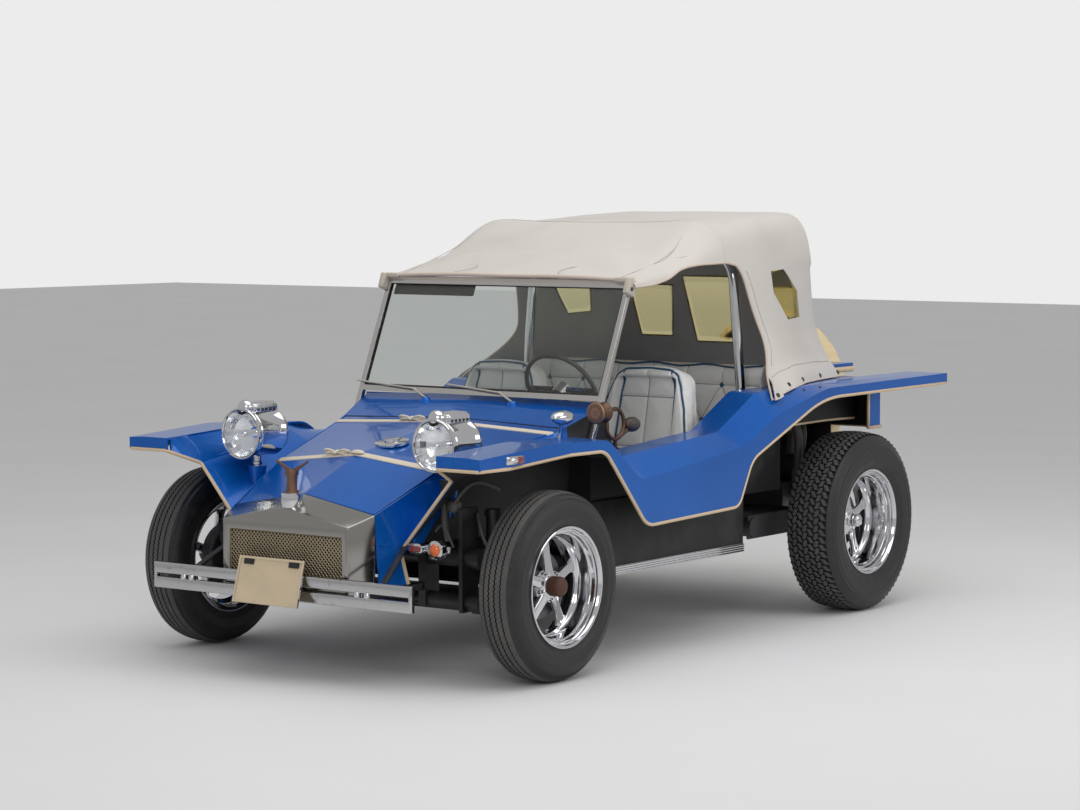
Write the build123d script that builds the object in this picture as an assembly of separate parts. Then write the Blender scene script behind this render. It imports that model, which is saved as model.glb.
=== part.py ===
from build123d import *
import math
import os

# Open two-axle beach car. Millimetres, +Z up, the car faces -Y and +X is its left side.
# The origin is on the floor at the middle of the overall length and width.

# Driving dimensions of the chassis
WHEELBASE = 2100.0
FRONT_REACH = 560.0
REAR_REACH = 671.0
LENGTH = FRONT_REACH + WHEELBASE + REAR_REACH
FRONT_AXLE_Y = FRONT_REACH - LENGTH / 2
REAR_AXLE_Y = FRONT_AXLE_Y + WHEELBASE
AXLE_Y = {"front": FRONT_AXLE_Y, "rear": REAR_AXLE_Y}

# Body shell
WING_X = 780.0
CROWN_X = 715.0
INNER_X = 600.0
SKIN = 7.0
TRIM_RADIUS = 6.5
TRIM_BEND = 12.0
TRIM_SIDES = 6
SKIRT_Z = 200.0

# Wheels: rim radius at the bead seat and the flange, hub and spindle
BEAD_RADIUS = 190.0
FLANGE_RADIUS = 207.0
FLANGE_THICKNESS = 10.0
SPINDLE_RADIUS = 16.0
RUNNING_GAP = 0.05
DRUM_RADIUS = 115.0
SPOKES = 5
SPOKE_ROOT = (34.0, 58.0)
SPOKE_TIP = (22.0, 40.0)

# axle, tyre radius, tyre width, tread width, rim width, wheel centre from the middle of the car
WHEEL_SIZES = {
    "front": (324.0, 166.0, 112.0, 160.0, 753.0),
    "rear": (353.0, 212.0, 165.0, 186.0, 711.0),
}

# Front beam and knuckles
BEAM_Y = -135.0
BEAM_Z = (262.0, 412.0)
BEAM_RADIUS = 30.0
BEAM_HALF = 560.0
KNUCKLE_Z = (300.0, 372.0)

# Steering
KINGPIN_X = 642.0
KINGPIN_RADIUS = 10.0
PIN_BOSS = 18.0
ARM_REACH = 128.0
ARM_INSET = 34.0
ROD_RADIUS = 9.0
ROD_EYE_GAP = 0.3

# Rake of the windscreen, degrees from upright
SCREEN_RAKE = 23.5
SCREEN_HALF = 559.0
SCREEN_FOOT = (542.0, 770.0)
SCREEN_SILL_Z = 903.0
SCREEN_TOP_Z = 1322.0
SCREEN_BAR = 20.0

# Hood fittings
HOOD_REST = ((424, 7.1), (441, 7.1), (448, 3.0))
HOOD_NORMAL = (0, -0.17, 0.985)
CAP_X = 30.0
CAP_Y = 60.0
CAP_RADIUS = 61.0
CAP_NECK_RADIUS = 32.0
CAP_HEIGHT = 9.0
STRAP_Y = (-94, 378)
STRAP_WIDTH = 28.0
STRAP_THICKNESS = 3.0
STRAP_END = (8.0, 6.0)

# Floor pan
FLOOR_THICKNESS = 12.0
TUNNEL_HALF = 80.0
TUNNEL_TOP = 430.0
SHELF_X = 568.0
SHELF_Z = 500.0
SIDE_PANEL = 8.0

FRAME_HEAD_Z = (336.0, 446.0)
TORSION_AHEAD = 440.0
TORSION_RADIUS = 38.0

# Radiator shell, grille and lamps
SHELL_WALL = 10.0
SHELL_LOW_Z = 300.0
GRILLE_HALF = 250.0
GRILLE_Z = (325.0, 497.0)
MESH_PITCH = 36.0
MESH_BAR = 6.0
MESH_ANGLE = 55.0
CAP_STEM_PLACE = (0.0, FRONT_AXLE_Y - 445.0, 587.0)
LAMP_X = 433.0
LAMP_Y = -222.0
LAMP_Z = 795.0
LAMP_RADIUS = 92.0
LAMP_DEPTH = 180.0
LAMP_STEM = 15.0
BOSS_TOP_Z = 676.0
BOSS_HEIGHT = 130.0
BOSS_RADII = (16.0, 34.0)

# Windscreen fittings
GLASS = 6.0
WIPER_X = ((-230, -570), (171, -139))

# Roll hoop
HOOP_Y = -500.0
HOOP_FOOT_X = 541.0
HOOP_TOP_X = 466.0
HOOP_TOP_Z = 1425.0
HOOP_BEND = 130.0
HOOP_RADIUS = 19.5

# Canvas top. Columns: axle, distance behind it, middle z, then (x, z) of shoulder, haunch, side
# and waist, and x of the foot
CANVAS = 8.0
SOFT_LOW_Z = 860.0
SOFT_TOP = (
    ("front", 760, 1333, (480, 1331), (571, 1327), (586, 1298), (588, 1110), 590),
    ("front", 1050, 1432, (450, 1414), (540, 1375), (594, 1340), (598, 1110), 605),
    ("front", 1344, 1545, (450, 1536), (540, 1490), (592, 1392), (602, 1130), 660),
    ("rear", -500, 1554, (425, 1541), (497, 1480), (530, 1340), (583, 1100), 715),
    ("rear", -250, 1561, (412, 1553), (486, 1500), (512, 1350), (548, 1110), 655),
    ("rear", 16, 1569, (400, 1566), (462, 1528), (489, 1440), (503, 1110), 600),
    ("rear", 180, 1563, (394, 1560), (438, 1510), (453, 1400), (462, 1110), 567),
)
SOFT_END = ((-900, 2600), (0, 1700))
# Rear wall of the top: (distance behind the rear axle, z) at its head and its foot
SOFT_REAR = ((16, 1572), (165, 905))
# Side opening ahead of the quarter. Columns: axle, distance behind it, z
SOFT_OPENING = (
    ("front", 700, 1303), ("front", 880, 1310), ("front", 978, 1336), ("front", 1114, 1373),
    ("front", 1324, 1381), ("rear", -628, 1376), ("rear", -573, 1364), ("rear", -536, 1321),
    ("rear", -496, 1204), ("rear", -460, 1097), ("rear", -520, 985), ("rear", -580, 907),
    ("rear", -580, 700), ("front", 700, 700),
)
# Six-sided side pane: (distance behind the rear axle, z)
SIDE_PANE = ((-294, 1340), (-187, 1346), (-72, 1256), (-58, 1154), (-186, 1148), (-287, 1257))
# Rear panes. Columns: low x, high x, low z, high z, taper of each side
REAR_PANES = (
    (-400, -190, 1055, 1262, 30),
    (-132, 132, 1035, 1300, 36),
    (190, 400, 1055, 1262, 30),
)

# Seats
SEAT_X = 345.0
SEAT_HALF = 215.0
SEAT_FRONT = 800.0
SEAT_BACK = 1215.0
SEAT_TOP_Z = 985.0
BENCH_HALF = 505.0
BENCH_BACK_HALF = 552.0
BENCH_FRONT = -730.0
BENCH_BACK_FOOT = -470.0
BENCH_LEAN = 0.14
BENCH_BACK_THICK = 70.0
BENCH_TOP_Z = 992.0

# Steering wheel
STEER_CENTRE = (250.0, 782.0, 922.0)
STEER_TILT = 30.0
STEER_RADIUS = 150.0
STEER_GRIP = 8.5
COLUMN_RADIUS = 19.0
COLUMN_GAP = 1.0
COLUMN_START = 45.0
COLUMN_LENGTH = 674.0
SHAFT_RADIUS = 8.0

# Body shell. Columns: axle that a corner is measured from, distance behind it, height, corner radius
LOWER_EDGE = (
    ("front", -420, 741, 0),
    ("front", -250, 740, 300),
    ("front", 90, 761, 600),
    ("front", 302, 759, 90),
    ("front", 558, 477, 90),
    ("rear", -935, 492, 60),
    ("rear", -842, 660, 120),
    ("rear", -325, 858, 700),
    ("rear", REAR_REACH - TRIM_RADIUS, 865, 0),
)
OUTER_CREASE = (
    ("front", -420, 781, 0),
    ("front", -10, 805, 600),
    ("front", 316, 797, 90),
    ("front", 520, 640, 110),
    ("rear", -900, 712, 200),
    ("rear", -680, 812, 200),
    ("rear", -300, 895, 500),
    ("rear", REAR_REACH - TRIM_RADIUS, 905, 0),
)
INNER_CREASE = (
    ("front", -420, 785, 0),
    ("front", -10, 806, 600),
    ("front", 325, 799, 130),
    ("front", 450, 722, 100),
    ("rear", -990, 768, 100),
    ("rear", -725, 900, 80),
    ("rear", -250, 906, 400),
    ("rear", REAR_REACH - TRIM_RADIUS, 905, 0),
)
# Left half of the front: bonnet edge, gutter, slope and wing edge. Columns: y, then four (x, z)
FRONT_SLOPE = (
    (-280, (333, 614), (345, 440), (561, 690), (602, 789)),
    (-94, (364, 697), (408, 622), (535, 728), (602, 798)),
    (200, (444, 760), (470, 735), (545, 767), (602, 798)),
    (381, (493, 799), (505, 768), (560, 766), (602, 762)),
    (455, (510, 822), (520, 765), (565, 742), (602, 724)),
    (640, (552, 893), (560, 770), (580, 745), (602, 737)),
)
# Left half of the nose: the panel beside the radiator. Columns: y, then three (x, z)
NOSE_SIDE = (
    (-384, (315, 568), (324, 450), (334, 330)),
    (-280, (333, 614), (345, 440), (377, 330)),
)
# Left half of the tip of the wing's inner edge. Columns: y, then three (x, z)
WING_TIP = (
    (-400, (596, 739), (600, 762), (602, 782)),
    (-280, (561, 690), (582, 740), (602, 789)),
)
# Left half of the wall between nose and wheel. Columns: y, gutter (x, z), foot x
NOSE_WALL = (
    (-240, (358, 479), 364),
    (-94, (408, 622), 400),
    (200, (470, 735), 440),
    (381, (505, 768), 480),
    (455, (520, 765), 500),
)
NOSE_FLOOR_Z = 462.0
NOSE_FLOOR_HALF = 330.0
FOOTWELL_HALF = 430.0
BULKHEAD_TOP = 730.0
SILL_INNER_X = 492.0
DASH_HALF = 556.0
DASH_Y = 640.0
DASH_Z = (750.0, 893.0)
LEDGE_POST_X = (300.0, 330.0)
STEP_Y = -645.0
SIDE_TOP_Z = (560.0, 700.0)
SIDE_SLOPE = (165.0, 70.0)
# Side marker lamp on the wing: y and z
MARKER = (FRONT_AXLE_Y - 227.0, 767.0)
# Cowl ahead of the windscreen. Columns: y, half width, edge z, middle z
COWL = (
    (442, 507, 816, 834),
    (640, 552, 893, 903),
)
# Hood. Columns: y, half width, edge z, ridge z
HOOD = (
    (-378, 304, 570, 622),
    (-94, 353, 699, 738),
    (381, 482, 800, 822),
    (437, 495, 813, 832),
)
FLOOR_Z = 300.0
CABIN_FRONT = 455.0
BULKHEAD = 190.0
BENCH_BACK_Y = -300.0
WALL_LOW_Z = 470.0
WALL_HIGH_Z = 745.0
DECK_Z = 898.0
TAIL_Y = 250.0
TAIL_LOW_Z = 709.0
TAIL_X = 700.0
LEDGE_HALF = 450.0
LEDGE_Y = (310.0, 465.0)
LEDGE_TOP_Z = 946.0
LEDGE_DEPTH = 36.0

# Bumper: blade heights, end position and depth
BUMPER_Y = (-520.0, -498.0)
BUMPER_BLADES = ((272.0, 310.0), (324.0, 362.0))
BUMPER_X = (62.0, 573.0)
BRACKET_X = 345.0
BRACKET_Z = (298.0, 322.0)
TOW_Y = -465.0
TOW_RADIUS = 6.5
PLATE_HALF = 145.0
PLATE_X = -28.0
PLATE_STUD_X = (-128.0, 72.0)
PLATE_TOP = (-512.0, 411.0)
PLATE_FOOT = (-556.0, 257.0)
STRUT_TOP = (362.0, -282.0, 461.0)
STRUT_FOOT = (425.0, -503.0, 330.0)
STRUT_SIZE = (24.0, 6.0)

# Depth of the wheel centre's face behind the rim's outer edge, and the inner face of the drum
HUB_DEPTH = {"front": 88.0, "rear": 114.0}
HUB_BORE_REACH = 14.0
DRUM_X = {"front": 676.0, "rear": 622.0}

# Spare wheel under its cover, behind the tail
SPARE_RADIUS = 345.0
SPARE_Z = 800.0
SPARE_Y = (480.0, 650.0)

os.makedirs("parts", exist_ok=True)
parts = {}


def at(axle, along):
    """Y of a point that lies the given distance behind an axle."""
    return AXLE_Y[axle] + along


def block(x, y, z):
    """Box between three (low, high) pairs."""
    centre = Pos((x[0] + x[1]) / 2, (y[0] + y[1]) / 2, (z[0] + z[1]) / 2)
    return centre * Box(x[1] - x[0], y[1] - y[0], z[1] - z[0])


def rod(start, end, radius):
    """Round bar between two points."""
    start, end = Vector(*start), Vector(*end)
    plane = Plane(origin=start, z_dir=end - start)
    return extrude(plane * Circle(radius), (end - start).length)


def pipe(points, bend, radius):
    """Round bar bent along a path of straight runs and arcs."""
    path = FilletPolyline(*points, radius=bend)
    start = Plane(origin=path @ 0, z_dir=path % 0)
    return sweep(start * Circle(radius), path=path)


def both_sides(shape):
    """A left-hand shape and its mirror image."""
    return [shape, mirror(shape, about=Plane.YZ)]


def fused(shapes):
    """One shape from several that touch."""
    first, *others = shapes
    return first.fuse(*others).clean() if others else first


def side_face(table, x, drop=0.0, inset=0.0):
    """Closed face in a plane of constant x under the line that a table of corners gives."""
    rows = [(at(axle, along), z - drop) for axle, along, z, radius in table]
    rows[0] = (rows[0][0] + inset, rows[0][1])
    rows[-1] = (rows[-1][0] - inset, rows[-1][1])
    points = [(x, y, z) for y, z in rows]
    top = FilletPolyline(*points, radius=[row[3] for row in table[1:-1]])
    low = Polyline(points[-1], (x, rows[-1][0], SKIRT_Z), (x, rows[0][0], SKIRT_Z), points[0])
    return make_face(top.edges() + low.edges())


def strip(y, points, thickness):
    """Closed thin face at one station: a line of (x, z) corners and its parallel."""
    normals = []
    for (x0, z0), (x1, z1) in zip(points, points[1:]):
        run = math.hypot(x1 - x0, z1 - z0)
        normals.append(((z1 - z0) / run, -(x1 - x0) / run))
    inner = []
    for i, (x, z) in enumerate(points):
        a = normals[max(i - 1, 0)]
        b = normals[min(i, len(normals) - 1)]
        share = thickness / (1 + a[0] * b[0] + a[1] * b[1])
        inner.append((x + (a[0] + b[0]) * share, z + (a[1] + b[1]) * share))
    corners = [(x, y, z) for x, z in points + inner[::-1]]
    return make_face(Polyline(*corners, close=True))


def skin(stations, thickness=SKIN):
    """Ruled panel through stations of (y, [(x, z), ...])."""
    return loft([strip(y, points, thickness) for y, points in stations], ruled=True)


def hull_loft(stations):
    """Ruled solid through stations of (y, [(x, z), ...]) that run down one half between x = 0 points."""
    faces = []
    for y, points in stations:
        ring = [(-x, y, z) for x, z in points] + [(x, y, z) for x, z in points[-2:0:-1]]
        faces.append(make_face(Polyline(*ring, close=True)))
    return loft(faces, ruled=True)


def wing_skin():
    """Left side of the shell: wing tops, sill and hip in one sheet with its outer lip."""
    outer = [
        extrude(side_face(INNER_CREASE, INNER_X), CROWN_X - INNER_X, dir=(1, 0, 0)),
        loft([side_face(INNER_CREASE, CROWN_X), side_face(OUTER_CREASE, WING_X)], ruled=True),
    ]
    lining = [
        extrude(side_face(INNER_CREASE, INNER_X - SKIN, SKIN, SKIN), CROWN_X - INNER_X + SKIN,
                dir=(1, 0, 0)),
        loft([side_face(INNER_CREASE, CROWN_X, SKIN, SKIN),
              side_face(OUTER_CREASE, WING_X - SKIN, SKIN, SKIN)], ruled=True),
    ]
    sheet = fused(outer) - fused(lining)
    below = side_face(LOWER_EDGE, INNER_X - SKIN)
    return sheet - extrude(below, WING_X - INNER_X + 4 * SKIN, dir=(1, 0, 0))


def cabin_wall():
    """Left inner wall of the cockpit and of the space above the rear wheel."""
    whole = extrude(side_face(INNER_CREASE, INNER_X), SKIN, dir=(1, 0, 0))
    y_front, y_hip, y_tail = at("front", CABIN_FRONT), at("rear", -640), at("rear", TAIL_Y)
    slope = 120.0
    outline = [
        (y_front, FLOOR_Z + SKIN), (y_hip - slope, FLOOR_Z + SKIN), (y_hip - slope, WALL_LOW_Z),
        (y_hip, WALL_HIGH_Z), (y_tail - SKIN, WALL_HIGH_Z), (y_tail - SKIN, DECK_Z + SKIN),
        (y_tail - SKIN, 1000), (y_front, 1000),
    ]
    face = make_face(Polyline(*[(INNER_X, y, z) for y, z in outline], close=True))
    return whole & extrude(face, SKIN, dir=(1, 0, 0))


def left_front():
    """Left half of the nose, the slope up to the wing and the wall beside the wheel."""
    slope = skin([(at("front", y), list(points)) for y, *points in FRONT_SLOPE])
    nose = skin([(at("front", y), list(points)) for y, *points in NOSE_SIDE])
    tip = skin([(at("front", y), list(points)) for y, *points in WING_TIP])
    wall = skin([(at("front", y), [gutter, (foot, NOSE_FLOOR_Z)]) for y, gutter, foot in NOSE_WALL])
    return [slope, nose, tip, wall]


def body_tub():
    """Moulded shell: wings, sills, nose sides, cowl, dash, rear deck and tail."""
    half = [wing_skin(), cabin_wall(), *left_front(), lamp_boss()]
    y_cabin = at("front", CABIN_FRONT)
    half.append(block((SILL_INNER_X, INNER_X + SKIN), (y_cabin, y_cabin + SKIN),
                      (FLOOR_Z + SKIN, WALL_HIGH_Z)))
    y_tail = at("rear", TAIL_Y)
    half.append(block((0, TAIL_X), (y_tail - SKIN, y_tail), (TAIL_LOW_Z, DECK_Z + SKIN)))
    half.append(block((TAIL_X - SKIN, TAIL_X), (y_tail - 100, y_tail), (TAIL_LOW_Z, DECK_Z)))
    y_deck = at("rear", BENCH_BACK_Y)
    half.append(block((0, INNER_X + SKIN), (y_deck, y_tail), (DECK_Z, DECK_Z + SKIN)))
    y_dash = at("front", DASH_Y)
    half.append(block((0, DASH_HALF), (y_dash - SKIN, y_dash), DASH_Z))
    y_bulk = at("front", BULKHEAD)
    half.append(block((0, FOOTWELL_HALF), (y_bulk, y_bulk + SKIN), (FLOOR_Z + SKIN, BULKHEAD_TOP)))
    half.append(block((0, NOSE_FLOOR_HALF), (at("front", HOOD[0][0]), y_bulk),
                      (NOSE_FLOOR_Z, NOSE_FLOOR_Z + SKIN)))
    ledge_y = [at("rear", y) for y in LEDGE_Y]
    ledge = block((0, LEDGE_HALF), ledge_y, (LEDGE_TOP_Z - LEDGE_DEPTH, LEDGE_TOP_Z))
    ledge -= block((0, LEDGE_HALF - SKIN), (ledge_y[0] + SKIN, ledge_y[1] - SKIN),
                   (LEDGE_TOP_Z - LEDGE_DEPTH, LEDGE_TOP_Z - SKIN))
    half.append(ledge)
    half.append(block(LEDGE_POST_X, (y_tail - SKIN, ledge_y[0] + SKIN), (DECK_Z, LEDGE_TOP_Z - 1)))
    cowl = [(at("front", y), [(-w, edge), (0, mid), (w, edge)]) for y, w, edge, mid in COWL]
    shapes = [s for piece in half for s in both_sides(piece)] + [skin(cowl), hood_rest()]
    tub = fused(shapes)
    start, end = column_point(COLUMN_LENGTH), column_point(0)
    return tub - rod(start, end, COLUMN_RADIUS + COLUMN_GAP)


def hood_section(y):
    """Half width, edge height and ridge height of the hood at one station."""
    for (y0, *row0), (y1, *row1) in zip(HOOD, HOOD[1:]):
        if y <= y1 or y1 == HOOD[-1][0]:
            share = (y - y0) / (y1 - y0)
            return [a + (b - a) * share for a, b in zip(row0, row1)]


def hood_line(y, lift=0.0, trim=0.0):
    """Corners of the hood's upper side at one station, raised and shortened as asked."""
    half, edge, ridge = hood_section(y)
    share = (half - trim) / half
    low = ridge + (edge - ridge) * share
    return [(-half + trim, low + lift), (0, ridge + lift), (half - trim, low + lift)]


def hood_rest():
    """Flange of the cowl that carries the hood's rear edge."""
    rows = [(at("front", y), hood_line(y, -drop, 6)) for y, drop in HOOD_REST]
    return skin(rows)


def hood():
    """Lift-off front panel with its centre ridge."""
    panel = skin([(at("front", y), hood_line(y)) for y, *_ in HOOD])
    cap_hole = Plane(origin=cap_centre(), z_dir=HOOD_NORMAL) * Cylinder(CAP_NECK_RADIUS, 80)
    return panel - cap_hole


def cap_centre():
    """Middle of the fuel filler on the hood's upper side."""
    half, edge, ridge = hood_section(CAP_Y)
    return (CAP_X, at("front", CAP_Y), ridge + (edge - ridge) * CAP_X / half)


def hood_straps():
    """Two leather straps across the hood, with a knot in the middle of each."""
    straps = []
    for y in STRAP_Y:
        rows = []
        low, high = y - STRAP_WIDTH / 2, y + STRAP_WIDTH / 2
        bends = [row[0] for row in HOOD if low < row[0] < high]
        for edge_y in (low, *bends, high):
            left, middle, right = hood_line(edge_y, STRAP_THICKNESS)
            out, down = STRAP_END
            rows.append((at("front", edge_y), [
                (left[0] - out, left[1] - down), (left[0] - 5, left[1]), middle,
                (right[0] + 5, right[1]), (right[0] + out, right[1] - down)]))
        strap = skin(rows, STRAP_THICKNESS)
        knot_z = hood_section(y)[2] + STRAP_THICKNESS
        knot = Pos(0, at("front", y), knot_z) * scale(Sphere(15), by=(1.9, 1.1, 0.75))
        knot &= block((-40, 40), (at("front", y) - 40, at("front", y) + 40), (knot_z - 1, knot_z + 40))
        tied = fused([strap, knot]) - parts["hood"] - parts["body_tub"]
        straps.append(tied.solids().sort_by(SortBy.VOLUME)[-1])
    return Compound(children=straps)


def filler_cap():
    """Round flip-top filler with its neck through the hood."""
    plane = Plane(origin=cap_centre(), z_dir=HOOD_NORMAL)
    lid = plane * Pos(0, 0, CAP_HEIGHT / 2 + 1) * Cylinder(CAP_RADIUS, CAP_HEIGHT)
    boss = plane * Pos(0, 0, CAP_HEIGHT + 5) * Cylinder(CAP_RADIUS * 0.45, 8)
    neck = plane * Pos(0, 0, -35) * Cylinder(CAP_NECK_RADIUS - 1, 74)
    return fused([lid, boss, neck])


def edge_trim():
    """Welt along the lower edges of wings and nose, as one bent six-sided bar a side."""
    x, inner = WING_X - SKIN / 2, INNER_X + SKIN / 2
    lip = [(x, at(axle, along), z) for axle, along, z, radius in LOWER_EDGE]
    slope_y, _, gutter, slope, _ = FRONT_SLOPE[0]
    foot = NOSE_SIDE[1][3]
    nose_y = at("front", slope_y) - TRIM_RADIUS
    nose = [(nose_x, nose_y, nose_z) for nose_x, nose_z in (foot, gutter, slope)]
    nose.append((inner, lip[0][1], lip[0][2]))
    tail = [(inner, lip[-1][1], lip[-1][2]), (inner, at("rear", TAIL_Y) + 2, lip[-1][2])]
    corners = [TRIM_BEND] * len(nose) + [row[3] for row in LOWER_EDGE[1:-1]] + [TRIM_BEND] * 2
    path = FilletPolyline(*nose, *lip, *tail, radius=corners)
    start = Plane(origin=path @ 0, z_dir=path % 0)
    welt = sweep(start * RegularPolygon(TRIM_RADIUS, TRIM_SIDES), path=path)
    left = welt - parts["body_tub"]
    return Compound(children=both_sides(left.solids().sort_by(SortBy.VOLUME)[-1]))


def floor_pan():
    """Black pressed floor with its tunnel, side panels and rear seat shelf."""
    y_bulk, y_cabin = at("front", BULKHEAD), at("front", CABIN_FRONT)
    y_step, y_back = at("rear", STEP_Y), at("rear", BENCH_BACK_Y)
    low = FLOOR_Z - FLOOR_THICKNESS
    top = FLOOR_Z + SKIN
    pieces = [
        block((0, FOOTWELL_HALF), (y_bulk, y_cabin), (low, top)),
        block((0, INNER_X + SKIN), (y_cabin, y_step), (low, top)),
        block((0, TUNNEL_HALF), (y_bulk + SKIN, y_step), (top, TUNNEL_TOP)),
        block((0, TUNNEL_HALF), (y_step, REAR_AXLE_Y - TORSION_AHEAD), (top, TUNNEL_TOP)),
        block((0, TUNNEL_HALF), (at("front", BEAM_Y), y_bulk), FRAME_HEAD_Z),
        block((0, SHELF_X), (y_step - SKIN, y_step), (top, SHELF_Z)),
        block((0, SHELF_X), (y_step - SKIN, y_back), (SHELF_Z - SKIN, SHELF_Z)),
        block((0, SHELF_X), (y_back - SKIN, y_back), (SHELF_Z - SKIN, DECK_Z)),
        block((SHELF_X - SKIN, SHELF_X), (y_step - SKIN, y_back), (SHELF_Z - SKIN, WALL_HIGH_Z)),
        block((SHELF_X - SKIN, INNER_X), (y_step, y_back), (WALL_HIGH_Z - SKIN, WALL_HIGH_Z)),
    ]
    x_side = INNER_X + SKIN
    (z_front, z_rear), (slope_foot, slope_head) = SIDE_TOP_Z, SIDE_SLOPE
    outline = [(y_cabin + SKIN, low), (y_step, low), (y_step, z_rear), (y_step - slope_head, z_rear),
               (y_step - slope_foot, z_front), (y_cabin + SKIN, z_front)]
    face = make_face(Polyline(*[(x_side, y, z) for y, z in outline], close=True))
    pieces.append(extrude(face, SIDE_PANEL, dir=(1, 0, 0)))
    pan = fused([s for piece in pieces for s in both_sides(piece)])
    y_beam, y_torsion = at("front", BEAM_Y), REAR_AXLE_Y - TORSION_AHEAD
    pan -= rod((-200, y_beam, BEAM_Z[1]), (200, y_beam, BEAM_Z[1]), BEAM_RADIUS)
    z_torsion = WHEEL_SIZES["rear"][0]
    pan -= rod((-200, y_torsion, z_torsion), (200, y_torsion, z_torsion), TORSION_RADIUS)
    return pan


def sill_strips():
    """Ribbed bright strip along each lower side."""
    y = (at("front", 588), at("rear", STEP_Y - 5))
    x = INNER_X + SKIN + SIDE_PANEL
    pieces = [block((x, x + 4), y, (286, 318))]
    for k in range(4):
        pieces.append(block((x + 4, x + 9), y, (288 + 8 * k, 292 + 8 * k)))
    return Compound(children=both_sides(fused(pieces)))


def radiator_shell():
    """Bright peaked shell in front of the nose, hollow behind its grille opening."""
    front = (at("front", -486), [(0, 582), (278, 531), (278, SHELL_LOW_Z), (0, SHELL_LOW_Z)])
    back = (at("front", -384), [(0, 623), (315, 568), (315, SHELL_LOW_Z), (0, SHELL_LOW_Z)])
    outside = hull_loft([front, back])
    wall = SHELL_WALL
    inner = []
    for (y, points), shift in ((front, wall), (back, 1)):
        peak, shoulder, foot, base = points
        inner.append((y + shift, [
            (0, peak[1] - wall * 1.4), (shoulder[0] - wall, shoulder[1] - wall),
            (foot[0] - wall, foot[1] + wall), (0, base[1] + wall)]))
    opening = block((-GRILLE_HALF, GRILLE_HALF), (front[0] - 1, front[0] + wall + 1), GRILLE_Z)
    return outside - hull_loft(inner) - opening


def grille_mesh():
    """Diamond lattice in a thin frame behind the shell's opening."""
    y = at("front", -486) + SHELL_WALL
    x, (z0, z1) = GRILLE_HALF + 6, (GRILLE_Z[0] - 6, GRILLE_Z[1] + 6)
    window = block((-x, x), (y, y + 6), (z0, z1))
    frame = window - block((-GRILLE_HALF, GRILLE_HALF), (y, y + 6), GRILLE_Z)
    bars = [frame]
    height = z1 - z0
    lean = height / math.tan(math.radians(MESH_ANGLE))
    count = int((2 * x + lean) / MESH_PITCH)
    for k in range(count):
        foot = -x - lean + MESH_PITCH * (k + 0.5)
        for side, depth in ((1, 0), (-1, 3)):
            low, high = (foot, foot + MESH_BAR), (foot + lean, foot + lean + MESH_BAR)
            corners = [(low[0], z0), (low[1], z0), (high[1], z1), (high[0], z1)]
            ring = [(side * cx, y + depth, cz) for cx, cz in corners]
            bar = extrude(make_face(Polyline(*ring, close=True)), 3, dir=(0, 1, 0))
            bars.append(bar & block((-x, x), (y, y + 6), (z0, z1)))
    return fused([bar for bar in bars if bar.solids()])


def radiator_cap():
    """Bright collar on the shell's peak that carries a stem with two plain wings."""
    x, y, z = CAP_STEM_PLACE
    rows = [(z - 30, z, 37), (z, z + 44, 37), (z + 44, z + 52, 24), (z + 52, z + 104, 18),
            (z + 104, z + 122, 22)]
    pieces = [rod((x, y, low), (x, y, high), radius) for low, high, radius in rows]
    for side in (1, -1):
        ring = [(0, y - 4, z + 106), (side * 68, y - 4, z + 148), (side * 72, y - 4, z + 155),
                (0, y - 4, z + 122)]
        pieces.append(extrude(make_face(Polyline(*ring, close=True)), 8, dir=(0, 1, 0)))
    cap = fused(pieces) - parts["radiator_shell"]
    return cap.solids().sort_by(Axis.Z)[-1]


def headlamp_place():
    """Lens centre of the left headlamp."""
    return (LAMP_X, at("front", LAMP_Y), LAMP_Z)


def lamp_boss():
    """Moulded cone on the slope of the left wing that carries the headlamp's stem."""
    x, y, z = headlamp_place()
    low, high = BOSS_RADII
    return Pos(x, y + LAMP_DEPTH / 2, BOSS_TOP_Z - BOSS_HEIGHT / 2) * Cone(low, high, BOSS_HEIGHT)


def headlamp_shells():
    """Bright lamp drums with a louvred box on top and a stem down to the wing."""
    x, y, z = headlamp_place()
    r = LAMP_RADIUS
    profile = [(0, 0), (r, 0), (r, 12), (r - 5, 14), (r - 5, LAMP_DEPTH - 20),
               (r - 22, LAMP_DEPTH), (0, LAMP_DEPTH)]
    face = make_face(Polyline(*[(x + cx, y + cy, z) for cx, cy in profile], close=True))
    drum = revolve(face, Axis((x, y, z), (0, 1, 0)))
    drum -= Pos(x, y + 4, z) * Rot(90, 0, 0) * Cylinder(r - 6, 40)
    box_y = (y + 26, y + LAMP_DEPTH - 14)
    box = block((x - 42, x + 42), box_y, (z + r - 24, z + r + 22))
    box = chamfer(box.edges().filter_by(Axis.Y).group_by(Axis.Z)[-1], 12)
    for k in range(5):
        slot_y = box_y[0] + 14 + 20 * k
        box -= block((x - 43, x + 43), (slot_y, slot_y + 9), (z + r - 4, z + r + 6))
    stem = rod((x, y + LAMP_DEPTH / 2, z - r + 12), (x, y + LAMP_DEPTH / 2, BOSS_TOP_Z), LAMP_STEM)
    return Compound(children=both_sides(fused([drum, box, stem])))


def headlamp_lenses():
    """Domed clear lenses in the lamp rims."""
    x, y, z = headlamp_place()
    r = LAMP_RADIUS - 6.5
    profile = make_face([
        *ThreePointArc((x, y - 9, z), (x + r * 0.55, y - 5, z), (x + r, y + 4, z)).edges(),
        *Polyline((x + r, y + 4, z), (x + r, y + 9, z), (x, y + 9, z), (x, y - 9, z)).edges(),
    ])
    lens = revolve(profile, Axis((x, y, z), (0, 1, 0)))
    return Compound(children=both_sides(lens))


def screen_y(z, behind=0.0):
    """Y on the windscreen's middle plane at a height."""
    y0, z0 = SCREEN_FOOT
    return at("front", y0) + (z - z0) * math.tan(math.radians(SCREEN_RAKE)) + behind


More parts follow.
